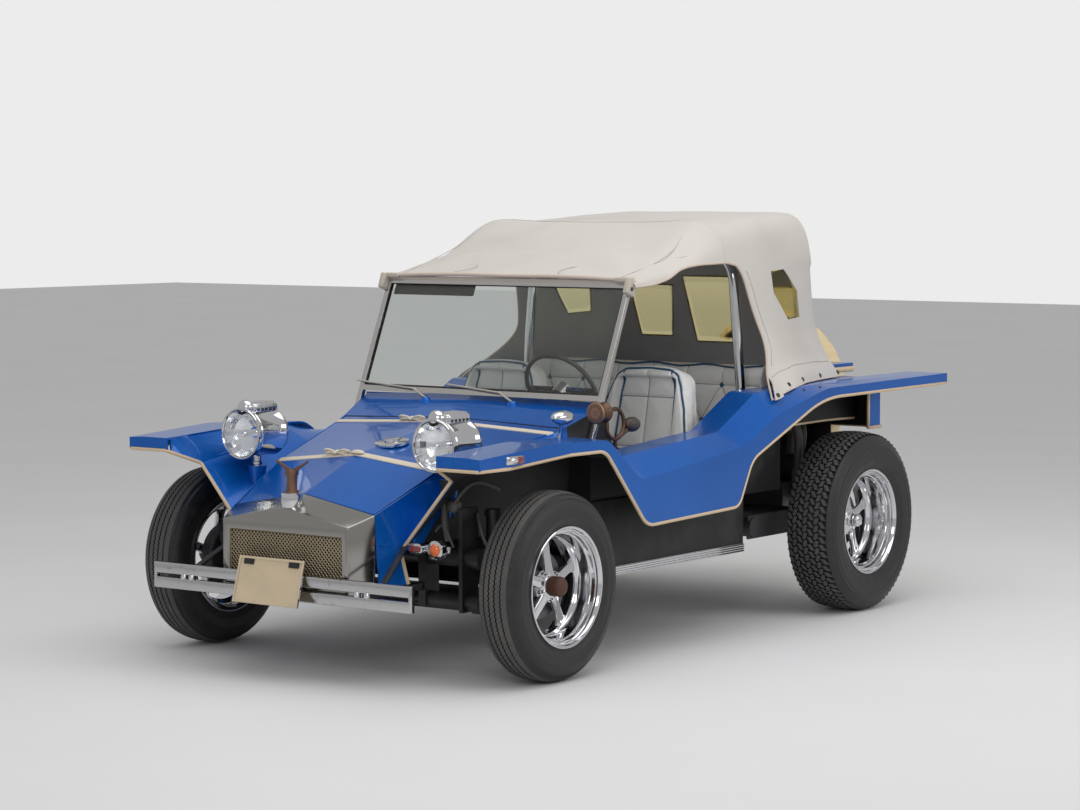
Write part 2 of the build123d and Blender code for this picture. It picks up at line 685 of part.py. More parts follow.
def slanted(x, z, depth, behind=0.0):
    """Bar between (low, high) pairs in x and z that leans with the windscreen."""
    slope = depth / 2 / math.cos(math.radians(SCREEN_RAKE))
    ring = []
    for height, side in ((z[0], -1), (z[0], 1), (z[1], 1), (z[1], -1)):
        ring.append((x[0], screen_y(height, behind) + side * slope, height))
    return extrude(make_face(Polyline(*ring, close=True)), x[1] - x[0], dir=(1, 0, 0))


def windscreen_frame():
    """Bright frame: two posts that run down to the shell, sill bar and header bar."""
    half, bar = SCREEN_HALF, SCREEN_BAR
    pieces = [
        slanted((-half, half), (SCREEN_SILL_Z, SCREEN_SILL_Z + bar), bar),
        slanted((-half, half), (SCREEN_TOP_Z - bar, SCREEN_TOP_Z), bar),
        slanted((half - bar, half), (SCREEN_FOOT[1] - 40, SCREEN_TOP_Z), bar),
        slanted((-half, bar - half), (SCREEN_FOOT[1] - 40, SCREEN_TOP_Z), bar),
    ]
    frame = fused(pieces) - parts["body_tub"]
    return frame.solids().sort_by(SortBy.VOLUME)[-1]


def windscreen_glass():
    """Flat laminated pane."""
    half = SCREEN_HALF - SCREEN_BAR
    return slanted((-half, half), (SCREEN_SILL_Z + SCREEN_BAR, SCREEN_TOP_Z - SCREEN_BAR), GLASS)


def sun_visor():
    """Dark strip visor hanging inside the far top corner of the screen."""
    z = (SCREEN_TOP_Z - SCREEN_BAR - 44, SCREEN_TOP_Z - SCREEN_BAR + 6)
    return slanted((-530, -150), z, 8, SCREEN_BAR / 2 + 6)


def wipers():
    """Two arms with blades that rest on the lower left of the glass."""
    shapes = []
    for spindle_x, tip_x in WIPER_X:
        spindle = (spindle_x, at("front", 582), 872)
        elbow = (spindle_x - 60, screen_y(918) - 24, 918)
        tip = (tip_x, screen_y(938) - 17, 938)
        arm = fused([rod((spindle[0], spindle[1], 850), (spindle[0], spindle[1], 890), 9),
                     rod((spindle[0], spindle[1], 884), elbow, 4), Pos(*elbow) * Sphere(4),
                     rod(elbow, tip, 3.5)])
        arm = (arm - parts["body_tub"]).solids().sort_by(SortBy.VOLUME)[-1]
        shapes.append(arm)
    return Compound(children=shapes)


def roll_hoop():
    """Bright tube hoop that stands on the rear seat's shelf."""
    y = at("rear", HOOP_Y)
    foot = (HOOP_FOOT_X, y, SHELF_Z)
    top = (HOOP_TOP_X, y, HOOP_TOP_Z)
    points = [(-foot[0], y, foot[2]), (-top[0], y, top[2]), top, foot]
    hoop = pipe(points, HOOP_BEND, HOOP_RADIUS) - parts["body_tub"] - parts["floor_pan"]
    return hoop.solids().sort_by(SortBy.VOLUME)[-1]


def soft_top_ring(row, inset):
    """Closed half outline of the canvas at one station, inset by a wall."""
    middle, shoulder, haunch, side, waist, foot_x = row
    return [(0, middle - inset), (shoulder[0] - inset * 0.3, shoulder[1] - inset),
            (haunch[0] - inset * 0.7, haunch[1] - inset * 0.7), (side[0] - inset, side[1]),
            (waist[0] - inset, waist[1]), (foot_x - inset, SOFT_LOW_Z), (0, SOFT_LOW_Z)]


def soft_top_hull(inset):
    """Solid under the canvas, or inside it when an inset is given."""
    stations = []
    for k, (axle, along, *row) in enumerate(SOFT_TOP):
        ahead = 0.0 if k else 2 * inset
        stations.append((at(axle, along) - ahead, soft_top_ring(row, inset)))
    (y_top, z_top), (y_low, z_low) = SOFT_REAR
    lean = (y_low - y_top) / (z_top - z_low)
    (x_end, y_end), (z_under, z_over) = SOFT_END
    ring = [(x_end, at("rear", y_top - lean * (z_over - z_top) - inset), z_over),
            (x_end, at("rear", y_low + lean * (z_low - z_under) - inset), z_under),
            (x_end, y_end, z_under), (x_end, y_end, z_over)]
    behind = extrude(make_face(Polyline(*ring, close=True)), -2 * x_end, dir=(1, 0, 0))
    return hull_loft(stations) - behind


def soft_top():
    """Canvas roof and quarters: a closed skin with open doors."""
    x_end = SOFT_END[0][0]
    ring = [(x_end, at(axle, along), z) for axle, along, z in SOFT_OPENING]
    doors = extrude(make_face(Polyline(*ring, close=True)), -2 * x_end, dir=(1, 0, 0))
    canvas = soft_top_hull(0.0) - soft_top_hull(CANVAS) - doors - parts["body_tub"]
    return canvas.solids().sort_by(SortBy.VOLUME)[-1]


def window_cuts():
    """Prisms through the canvas at the two side panes and the three rear panes."""
    side = [(440, at("rear", y), z) for y, z in SIDE_PANE]
    cuts = both_sides(extrude(make_face(Polyline(*side, close=True)), 300, dir=(1, 0, 0)))
    for x0, x1, z0, z1, taper in REAR_PANES:
        ring = [(x0 + taper, z0), (x1 - taper, z0), (x1, z1), (x0, z1)]
        face = make_face(Polyline(*[(x, at("rear", -100), z) for x, z in ring], close=True))
        cuts.append(extrude(face, 400, dir=(0, 1, 0)))
    return cuts


def column_point(distance):
    """Point on the steering column's axis, measured down from the wheel's centre."""
    x, y, z = STEER_CENTRE
    lean = math.radians(STEER_TILT)
    return (x, at("front", y) - distance * math.cos(lean), z - distance * math.sin(lean))


def steering_column():
    """Column tube from the bulkhead through the dash, with its collar."""
    tube = rod(column_point(COLUMN_LENGTH), column_point(COLUMN_START), COLUMN_RADIUS)
    collar = rod(column_point(150), column_point(130), COLUMN_RADIUS + 16)
    bore_ends = column_point(COLUMN_START + 40), column_point(COLUMN_START - 1)
    bore = rod(*bore_ends, SHAFT_RADIUS + RUNNING_GAP)
    column = fused([tube, collar]) - bore - parts["body_tub"]
    return column.solids().sort_by(SortBy.VOLUME)[-1]


def steering_wheel():
    """Thin rim on three flat spokes, with its hub and shaft."""
    plane = Plane(origin=column_point(0), x_dir=(1, 0, 0),
                  z_dir=Vector(*column_point(0)) - Vector(*column_point(1)))
    rim = plane * Torus(STEER_RADIUS, STEER_GRIP)
    hub = plane * Pos(0, 0, -12) * Cylinder(27, 56)
    shaft = plane * Pos(0, 0, -62) * Cylinder(SHAFT_RADIUS, 44)
    shapes = [rim, hub, shaft]
    for angle in (0, 90, 180):
        spoke = Rot(0, 0, angle) * Pos(STEER_RADIUS / 2, 0, 0) * Box(STEER_RADIUS - 4, 26, 4)
        shapes.append(plane * spoke)
    return fused(shapes)


def seat(side):
    """Bucket seat: cushion and a back with rounded shoulders, both dished between bolsters."""
    y_front, y_back = at("front", SEAT_FRONT), at("front", SEAT_BACK)
    x = side * SEAT_X
    cushion = block((x - SEAT_HALF, x + SEAT_HALF), (y_front, y_back), (FLOOR_Z + 30, 545))
    cushion = fillet(cushion.edges().filter_by(Axis.Z), 60)
    cushion -= block((x - 140, x + 140), (y_front - 1, y_back), (512, 546))
    shoulder = SEAT_HALF - 62
    ring = [(-SEAT_HALF, 0), (-SEAT_HALF, 250), (-shoulder, 520), (shoulder, 520),
            (SEAT_HALF, 250), (SEAT_HALF, 0)]
    face = make_face(FilletPolyline(*[(cx, cz) for cx, cz in ring], radius=[70, 75, 75, 70]).edges()
                     + Line(ring[-1], ring[0]).edges())
    lean = Plane(origin=(x, y_back - 110, SEAT_TOP_Z - 500), x_dir=(1, 0, 0), z_dir=(0, -1, 0.2))
    back = lean * extrude(face, -100)
    hollow = lean * Pos(0, 280, -12) * Box(270, 400, 30)
    rails = [block((x - 150, x - 120), (y_front + 60, y_back - 60), (FLOOR_Z + SKIN, FLOOR_Z + 32)),
             block((x + 120, x + 150), (y_front + 60, y_back - 60), (FLOOR_Z + SKIN, FLOOR_Z + 32))]
    return fused([cushion, back - hollow, *rails])


def rear_bench():
    """Rear seat for two: cushion between the hoop's feet and a wide straight back."""
    y0, y1 = at("rear", BENCH_FRONT), at("rear", BENCH_BACK_FOOT)
    cushion = block((-BENCH_HALF, BENCH_HALF), (y0, y1 + 30), (SHELF_Z, 640))
    cushion = fillet(cushion.edges().filter_by(Axis.X).group_by(Axis.Z)[-1], 25)
    lean = Plane(origin=(0, y1, SHELF_Z), x_dir=(1, 0, 0), z_dir=(0, -1, BENCH_LEAN))
    height = BENCH_TOP_Z - SHELF_Z
    half = [(BENCH_HALF, 0), (BENCH_HALF, 260), (BENCH_BACK_HALF, 275), (BENCH_BACK_HALF, height)]
    ring = [(-x, z) for x, z in half] + half[::-1]
    back = lean * extrude(make_face(Polyline(*ring, close=True)), -BENCH_BACK_THICK)
    back &= block((-600, 600), (y1 - 10, y1 + 260), (SHELF_Z, 1100))
    return fused([cushion, back])


def floor_controls():
    """Gear lever and parking brake lever on the tunnel, and two pedals at the bulkhead."""
    y = at("front", 790)
    knob_z = TUNNEL_TOP + 212
    lever = [rod((0, y, TUNNEL_TOP), (0, y + 60, knob_z), 7), Pos(0, y + 60, knob_z) * Sphere(22),
             Pos(0, y, TUNNEL_TOP + 12) * Cone(42, 14, 24)]
    brake = [rod((0, y + 230, TUNNEL_TOP + 10), (0, y + 110, TUNNEL_TOP + 66), 9),
             Pos(0, y + 230, TUNNEL_TOP + 15) * Box(40, 70, 30)]
    shapes = [fused(lever) - parts["floor_pan"], fused(brake) - parts["floor_pan"]]
    y_bulk = at("front", BULKHEAD) + SKIN
    for x in (180, 320):
        arm = rod((x, y_bulk, 560), (x, y_bulk + 70, 430), 7)
        pad = Pos(x, y_bulk + 74, 424) * Rot(-30, 0, 0) * Box(60, 10, 50)
        shapes.append(fused([arm, pad]) - block((x - 40, x + 40), (y_bulk - 40, y_bulk), (400, 600)))
    return Compound(children=[s for shape in shapes for s in shape.solids()])


def horn():
    """Bulb horn beside the screen: slotted bell, looped tube and rubber bulb."""
    x = INNER_X + 14
    y = at("front", 479)
    bell = Pos(x, y + 24, 872) * Rot(90, 0, 0) * Cone(37, 12, 50)
    rim = Pos(x, y, 872) * Rot(90, 0, 0) * Cylinder(39, 6)
    loop = Pos(x, at("front", 596), 826) * Rot(0, 90, 0) * Torus(54, 7)
    neck = rod((x, y + 40, 874), (x, at("front", 600), 880), 8)
    tail = rod((x, at("front", 600), 772), (x, at("front", 668), 800), 8)
    bulb = Pos(x, at("front", 700), 818) * scale(Sphere(27), by=(1, 1.5, 1))
    stay = rod((x, at("front", 596), 772), (x, at("front", 596), 700), 7)
    shape = fused([rim, bell, loop, neck, tail, bulb, stay]) - parts["body_tub"]
    return shape.solids().sort_by(SortBy.VOLUME)[-1]


def mirror_pod():
    """Bullet mirror on a short stem on the left wing."""
    x, y = 606, at("front", 285)
    body = Pos(x, y, 868) * scale(Sphere(30), by=(1, 1.9, 0.85))
    body -= block((x - 50, x + 50), (y + 42, y + 90), (800, 940))
    stem = rod((x, y - 6, 850), (x, y - 18, 770), 8)
    shape = fused([body, stem]) - parts["body_tub"]
    return shape.solids().sort_by(SortBy.VOLUME)[-1]


def bumper():
    """Split bumper: on each side two blades that an end block and a post join."""
    y = [at("front", v) for v in BUMPER_Y]
    x0, x1 = BUMPER_X
    blades = [block((x0, x1), y, z) for z in BUMPER_BLADES]
    low, high = BUMPER_BLADES[0][0], BUMPER_BLADES[1][1]
    end = block((x1 - 12, x1), y, (low, high))
    post = block((x0, x0 + 26), (y[0] + 6, y[1]), (low, high))
    middle = block((BRACKET_X - 14, BRACKET_X + 14), (y[0] + 8, y[1]), (low, high))
    half = fused([*blades, end, post, middle])
    return Compound(children=both_sides(half))


def bumper_brackets():
    """On each side a flat iron from the axle beam and a flat stay from the nose to the bumper."""
    y = (at("front", BUMPER_Y[1]), at("front", BEAM_Y) - BEAM_RADIUS - 8)
    iron = block((BRACKET_X - 10, BRACKET_X + 10), y, BRACKET_Z)
    iron -= Pos(BRACKET_X, at("front", TOW_Y), sum(BRACKET_Z) / 2) * Cylinder(TOW_RADIUS, 60)
    top, foot = (Vector(x, at("front", along), z) for x, along, z in (STRUT_TOP, STRUT_FOOT))
    section = Plane(origin=foot, x_dir=(1, 0, 0), z_dir=top - foot) * Rectangle(*STRUT_SIZE)
    stay = extrude(section, (top - foot).length)
    stay = stay - parts["bumper"] - parts["body_tub"] - parts["edge_trim"]
    stay = stay.solids().sort_by(SortBy.VOLUME)[-1]
    return Compound(children=[*both_sides(iron), *both_sides(stay)])


def number_plate():
    """Blank plate in a raised frame, leaning forward at its foot on two studs."""
    (y1, z1), (y0, z0) = PLATE_TOP, PLATE_FOOT
    height = math.hypot(y1 - y0, z1 - z0)
    plane = Plane(origin=(PLATE_X, at("front", (y0 + y1) / 2), (z0 + z1) / 2), x_dir=(1, 0, 0),
                  z_dir=(0, z0 - z1, y1 - y0))
    plate = plane * Box(2 * PLATE_HALF, height, 4)
    border = Box(2 * PLATE_HALF, height, 8) - Box(2 * PLATE_HALF - 16, height - 16, 9)
    rim = plane * Pos(0, 0, 2) * border
    y_blade = at("front", BUMPER_Y[0])
    z_stud = sum(BUMPER_BLADES[1]) / 2
    studs = [rod((x, y_blade, z_stud), (x, y_blade - 12, z_stud), 6) for x in PLATE_STUD_X]
    return fused([plate, rim, *studs])


def front_axle():
    """Twin-tube front beam with clamps, shock towers, trailing arms, kingpins and dampers."""
    y = at("front", BEAM_Y)
    tubes = [rod((-BEAM_HALF, y, z), (BEAM_HALF, y, z), BEAM_RADIUS) for z in BEAM_Z]
    axle_y = FRONT_AXLE_Y
    half = [
        block((BRACKET_X - 15, BRACKET_X + 15), (y - 38, y + 38), (BEAM_Z[0] - 20, BEAM_Z[1] + 20)),
        block((505, 520), (y - 40, y + 50), (230, 585)),
        rod((520, axle_y - 40, 560), (560, axle_y - 40, 560), 12),
        rod((552, axle_y - 40, 575), (552, axle_y - 40, 400), 26),
        rod((552, axle_y - 40, 400), (552, axle_y - 40, 285), 13),
    ]
    for z in BEAM_Z:
        half.append(rod((545, y, z), (580, y, z), BEAM_RADIUS + 6))
    for z, pin_z in zip(BEAM_Z, (KNUCKLE_Z[0] - 19, KNUCKLE_Z[1] + 19)):
        half.append(rod((KINGPIN_X, axle_y, pin_z - 18), (KINGPIN_X, axle_y, pin_z + 18), PIN_BOSS))
        half.append(block((568, 580), (y, axle_y + 16), (min(z, pin_z) - 14, max(z, pin_z) + 14)))
        half.append(block((568, KINGPIN_X), (axle_y - 16, axle_y + 16), (pin_z - 14, pin_z + 14)))
    half.append(rod((540, axle_y - 40, 287), (574, axle_y - 40, 287), 9))
    half.append(rod((KINGPIN_X, axle_y, KNUCKLE_Z[0] - 30), (KINGPIN_X, axle_y, KNUCKLE_Z[1] + 30),
                    KINGPIN_RADIUS))
    return fused(tubes + [s for piece in half for s in both_sides(piece)])


def knuckle(side):
    """Steering knuckle: sleeve on the kingpin, spindle, brake plate and steering arm."""
    y, z = FRONT_AXLE_Y, WHEEL_SIZES["front"][0]
    x = KINGPIN_X
    low, high = KNUCKLE_Z
    shapes = [
        rod((x, y, low), (x, y, high), 20),
        rod((x + 15, y, z), (x + 26, y, z), 22),
        rod((x + 20, y, z), (spindle_end("front"), y, z), SPINDLE_RADIUS),
        rod((x + 24, y, z), (x + 30, y, z), DRUM_RADIUS),
    ]
    tip = (x - ARM_INSET, y + ARM_REACH, low + 14)
    shapes.append(rod((x, y + 6, low + 14), tip, 11))
    shapes.append(rod((tip[0], tip[1], low + 2), (tip[0], tip[1], low + 26), 15))
    shape = fused(shapes) - rod((x, y, low - 1), (x, y, high + 1), KINGPIN_RADIUS + RUNNING_GAP)
    return shape if side > 0 else mirror(shape, about=Plane.YZ)


def track_rod():
    """Round rod under the two steering arms, with an eye at each end."""
    x, y = KINGPIN_X - ARM_INSET, FRONT_AXLE_Y + ARM_REACH
    z = KNUCKLE_Z[0] + 2 - ROD_EYE_GAP - ROD_RADIUS
    bar = rod((-x, y, z), (x, y, z), ROD_RADIUS)
    eyes = [rod((s * x, y, z - 12), (s * x, y, z + ROD_RADIUS), 16) for s in (1, -1)]
    return fused([bar, *eyes])


def tyre(axle, side):
    """Tyre as one closed carcass with rounded shoulders."""
    radius, width, tread, rim, centre = WHEEL_SIZES[axle]
    middle = (radius + BEAD_RADIUS) / 2 - 6
    crown = (radius - 9, tread / 2)
    bead = rim / 2 - FLANGE_THICKNESS
    lip = FLANGE_RADIUS + 1
    top = ThreePointArc((crown[1], crown[0]), (0, radius), (-crown[1], crown[0]))
    left = ThreePointArc((-crown[1], crown[0]), (-width / 2, middle), (-bead, lip))
    right = ThreePointArc((bead, lip), (width / 2, middle), (crown[1], crown[0]))
    base = Polyline((-bead, lip), (-bead, BEAD_RADIUS), (bead, BEAD_RADIUS), (bead, lip))
    face = make_face(top.edges() + left.edges() + base.edges() + right.edges())
    ring = revolve(face, Axis.X)
    return Pos(side * centre, AXLE_Y[axle], radius) * ring


def rim(axle, side):
    """Five-spoke wheel with a deep barrel, its hub and its brake drum."""
    radius, width, tread, rim_width, centre = WHEEL_SIZES[axle]
    half = rim_width / 2
    profile = [(-half, FLANGE_RADIUS), (-half, FLANGE_RADIUS - 6), (-half + 12, BEAD_RADIUS - 9),
               (half - 12, BEAD_RADIUS - 9), (half, FLANGE_RADIUS - 6), (half, FLANGE_RADIUS),
               (half - FLANGE_THICKNESS, FLANGE_RADIUS), (half - FLANGE_THICKNESS, BEAD_RADIUS),
               (-half + FLANGE_THICKNESS, BEAD_RADIUS), (-half + FLANGE_THICKNESS, FLANGE_RADIUS)]
    barrel = revolve(make_face(Polyline(*profile, close=True)), Axis.X)
    face_x = half - HUB_DEPTH[axle]
    shapes = [barrel, Pos(face_x, 0, 0) * Rot(0, 90, 0) * Cylinder(62, 44)]
    for k in range(SPOKES):
        root = Pos(face_x, 0, 50) * Rectangle(*SPOKE_ROOT)
        tip = Pos(face_x - 14, 0, BEAD_RADIUS - 6) * Rectangle(*SPOKE_TIP)
        shapes.append(Rot(360 / SPOKES * k, 0, 0) * loft([root, tip], ruled=True))
    shapes.append(Pos(face_x + 30, 0, 0) * Rot(0, 90, 0) * Cylinder(30, 20))
    drum_face = DRUM_X[axle] - centre
    depth = face_x - 20 - drum_face
    drum = Pos(drum_face + depth / 2, 0, 0) * Rot(0, 90, 0) * Cylinder(DRUM_RADIUS, depth)
    shapes.append(drum)
    wheel = fused(shapes)
    bore_end = face_x + HUB_BORE_REACH
    bore = Pos((drum_face - 1 + bore_end) / 2, 0, 0) * Rot(0, 90, 0)
    wheel -= bore * Cylinder(SPINDLE_RADIUS + RUNNING_GAP, bore_end - drum_face + 1)
    wheel = wheel if side > 0 else mirror(wheel, about=Plane.YZ)
    return Pos(side * centre, AXLE_Y[axle], radius) * wheel


def spindle_end(axle):
    """Distance of the spindle's tip from the middle of the car."""
    radius, width, tread, rim_width, centre = WHEEL_SIZES[axle]
    return centre + rim_width / 2 - HUB_DEPTH[axle] + HUB_BORE_REACH - 2


def transaxle():
    """Gear case, axle tubes with brake plates and stub shafts, torsion tube and trailing arms."""
    y, z = REAR_AXLE_Y, WHEEL_SIZES["rear"][0]
    case = block((-110, 110), (y - 420, y + 110), (z - 90, z + 90))
    case = fillet(case.edges().filter_by(Axis.Y), 45)
    torsion = rod((-540, y - TORSION_AHEAD, z), (540, y - TORSION_AHEAD, z), TORSION_RADIUS)
    half = [
        rod((90, y, z), (560, y, z), 36),
        rod((560, y, z), (DRUM_X["rear"] - 8, y, z), 48),
        rod((DRUM_X["rear"] - 8, y, z), (DRUM_X["rear"] - 2, y, z), DRUM_RADIUS),
        rod((590, y, z), (spindle_end("rear"), y, z), SPINDLE_RADIUS),
        block((520, 530), (y - 470, y + 30), (z - 45, z + 45)),
        rod((500, y + 60, z - 60), (500, y + 60, z + 250), 24),
        block((488, 530), (y + 30, y + 84), (z - 80, z - 20)),
    ]
    return fused([case, torsion] + [s for piece in half for s in both_sides(piece)])


def engine_block():
    """Flat four-cylinder engine as one plain block behind the gear case."""
    y = REAR_AXLE_Y
    crankcase = block((-330, 330), (y + 110, y + 230), (270, 470))
    blower = block((-150, 150), (y + 150, y + 230), (470, 620))
    return fused([crankcase, blower])


def exhaust():
    """Cross silencer behind the engine with two tail pipes."""
    y, z = REAR_AXLE_Y + 230, 330
    can = rod((-270, y + 52, z), (270, y + 52, z), 52)
    shapes = [can]
    for side in (1, -1):
        shapes.append(rod((side * 150, y + 60, z), (side * 150, y + 160, z - 20), 18))
    return fused(shapes)


def signal_lamps():
    """Two front lamps on a bar under the left wing, wing side markers and round tail lamps."""
    y = at("front", -285)
    bar = block((370, 552), (y, y + 6), (446, 468))
    round_lamp = Pos(512, y - 14, 457) * Rot(90, 0, 0) * Cylinder(32, 30)
    capsule = block((397, 455), (y - 26, y), (438, 474))
    capsule = fillet(capsule.edges().filter_by(Axis.Y), 17)
    front = fused([bar, round_lamp, capsule]) - parts["body_tub"] - parts["edge_trim"]
    front = front - parts["bumper_brackets"]
    marker = Pos(WING_X, *MARKER) * scale(Sphere(12), by=(1, 3, 1))
    marker -= block((WING_X - 30, WING_X), (MARKER[0] - 50, MARKER[0] + 50), (700, 800))
    tail = Pos(560, at("rear", TAIL_Y) + 11, 800) * Rot(90, 0, 0) * Cylinder(38, 22)
    lamps = [front.solids().sort_by(SortBy.VOLUME)[-1], *both_sides(marker), *both_sides(tail)]
    return Compound(children=[s for lamp in lamps for s in lamp.solids()])


def spare_wheel():
    """Spare wheel in a round padded cover on a stub from the tail."""
    y0, y1 = (at("rear", y) for y in SPARE_Y)
    wheel = Pos(0, (y0 + y1) / 2, SPARE_Z) * Rot(90, 0, 0) * Cylinder(SPARE_RADIUS, y1 - y0)
    wheel = fillet(wheel.edges().filter_by(GeomType.CIRCLE), 50)
    stub = rod((0, at("rear", TAIL_Y), SPARE_Z), (0, y0 + 5, SPARE_Z), 40)
    return fused([wheel, stub])


def soft_top_windows(whole):
    """Clear panes that fill the cut-outs of the canvas."""
    panes = [whole & cut for cut in window_cuts()]
    return Compound(children=[s for pane in panes for s in pane.solids()])


parts["body_tub"] = body_tub()
parts["hood"] = hood()
parts["hood_straps"] = hood_straps()
parts["filler_cap"] = filler_cap() - parts["hood"]
parts["edge_trim"] = edge_trim()
parts["floor_pan"] = floor_pan()
parts["sill_strips"] = sill_strips()
parts["radiator_shell"] = radiator_shell()
parts["grille_mesh"] = grille_mesh()
parts["radiator_cap"] = radiator_cap()
parts["headlamp_shells"] = headlamp_shells()
parts["headlamp_lenses"] = headlamp_lenses()
parts["windscreen_frame"] = windscreen_frame()
parts["windscreen_glass"] = windscreen_glass()
parts["sun_visor"] = sun_visor()
parts["wipers"] = wipers()
parts["roll_hoop"] = roll_hoop()
canvas = soft_top()
parts["soft_top_windows"] = soft_top_windows(canvas)
for pane in window_cuts():
    canvas -= pane
parts["soft_top"] = canvas
parts["seat_left"] = seat(1)
parts["seat_right"] = seat(-1)
parts["rear_bench"] = rear_bench()
parts["steering_column"] = steering_column()
parts["steering_wheel"] = steering_wheel()
parts["floor_controls"] = floor_controls()
parts["horn"] = horn()
parts["mirror"] = mirror_pod()
parts["bumper"] = bumper()
parts["bumper_brackets"] = bumper_brackets()
parts["number_plate"] = number_plate()
parts["front_axle"] = front_axle()
parts["track_rod"] = track_rod()
parts["transaxle"] = transaxle()
parts["engine_block"] = engine_block()
parts["exhaust"] = exhaust()
parts["signal_lamps"] = signal_lamps()
parts["spare_wheel"] = spare_wheel()
for place, side in (("left", 1), ("right", -1)):
    parts[f"knuckle_{place}"] = knuckle(side)
    for axle in WHEEL_SIZES:
        parts[f"tyre_{axle}_{place}"] = tyre(axle, side)
        parts[f"rim_{axle}_{place}"] = rim(axle, side)

for name, shape in parts.items():
    export_step(shape, f"parts/{name}.step")
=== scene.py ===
"""Looks of an open two-axle beach car: candy-blue shell, chromed fittings, white vinyl seats and a canvas top."""

from __future__ import annotations

import logging
import math
from dataclasses import dataclass, replace
from typing import Callable, Sequence, Union

import bmesh
import bpy
import numpy as np
from mathutils import Matrix, Vector
from mathutils.bvhtree import BVHTree


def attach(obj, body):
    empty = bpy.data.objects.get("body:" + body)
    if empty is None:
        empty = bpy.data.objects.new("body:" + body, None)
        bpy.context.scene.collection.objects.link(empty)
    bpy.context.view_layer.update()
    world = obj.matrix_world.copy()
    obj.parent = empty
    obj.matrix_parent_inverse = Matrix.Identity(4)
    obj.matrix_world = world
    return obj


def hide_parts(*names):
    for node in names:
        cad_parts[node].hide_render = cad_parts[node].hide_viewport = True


LOG = logging.getLogger("beach_car")
FRONT_AXLE_Y = -1.1055
REAR_AXLE_Y = 0.9945
Colour = tuple[float, float, float]
Spot = tuple[float, float, float]
Spots = tuple[Spot, ...]
Pair = tuple[float, float]
Pairs = tuple[Pair, ...]
Point = Sequence[float]
Points = Sequence[Point]
Piece = bpy.types.Object
Value = Union["Wire", float]


# Shader arithmetic


class Wire:
    """One output socket, used in plain arithmetic."""

    def __init__(self, paint: "Paint", socket: bpy.types.NodeSocket) -> None:
        """Keep the socket and the material that it belongs to."""
        self.paint = paint
        self.socket = socket

    def _maths(self, operation: str, *values: Value) -> "Wire":
        """Add a Math node.

        Args:
            operation: Name of the Math operation.
            values: Its operands.

        Returns:
            The node's value.
        """
        return self.paint.node("ShaderNodeMath", {"operation": operation}, *values)

    def __add__(self, other: Value) -> "Wire":
        """Sum."""
        return self._maths("ADD", self, other)

    def __radd__(self, other: float) -> "Wire":
        """Sum, reflected."""
        return self._maths("ADD", other, self)

    def __mul__(self, other: Value) -> "Wire":
        """Product."""
        return self._maths("MULTIPLY", self, other)

    def __rmul__(self, other: float) -> "Wire":
        """Product, reflected."""
        return self._maths("MULTIPLY", other, self)

    def sine(self) -> "Wire":
        """Sine of the value in radians."""
        return self._maths("SINE", self)

    def step(self, low: float, high: float) -> "Wire":
        """Smooth ramp from 0 at low to 1 at high."""
        settings = {"interpolation_type": "SMOOTHSTEP"}
        return self.paint.node("ShaderNodeMapRange", settings, self, low, high, 0.0, 1.0)


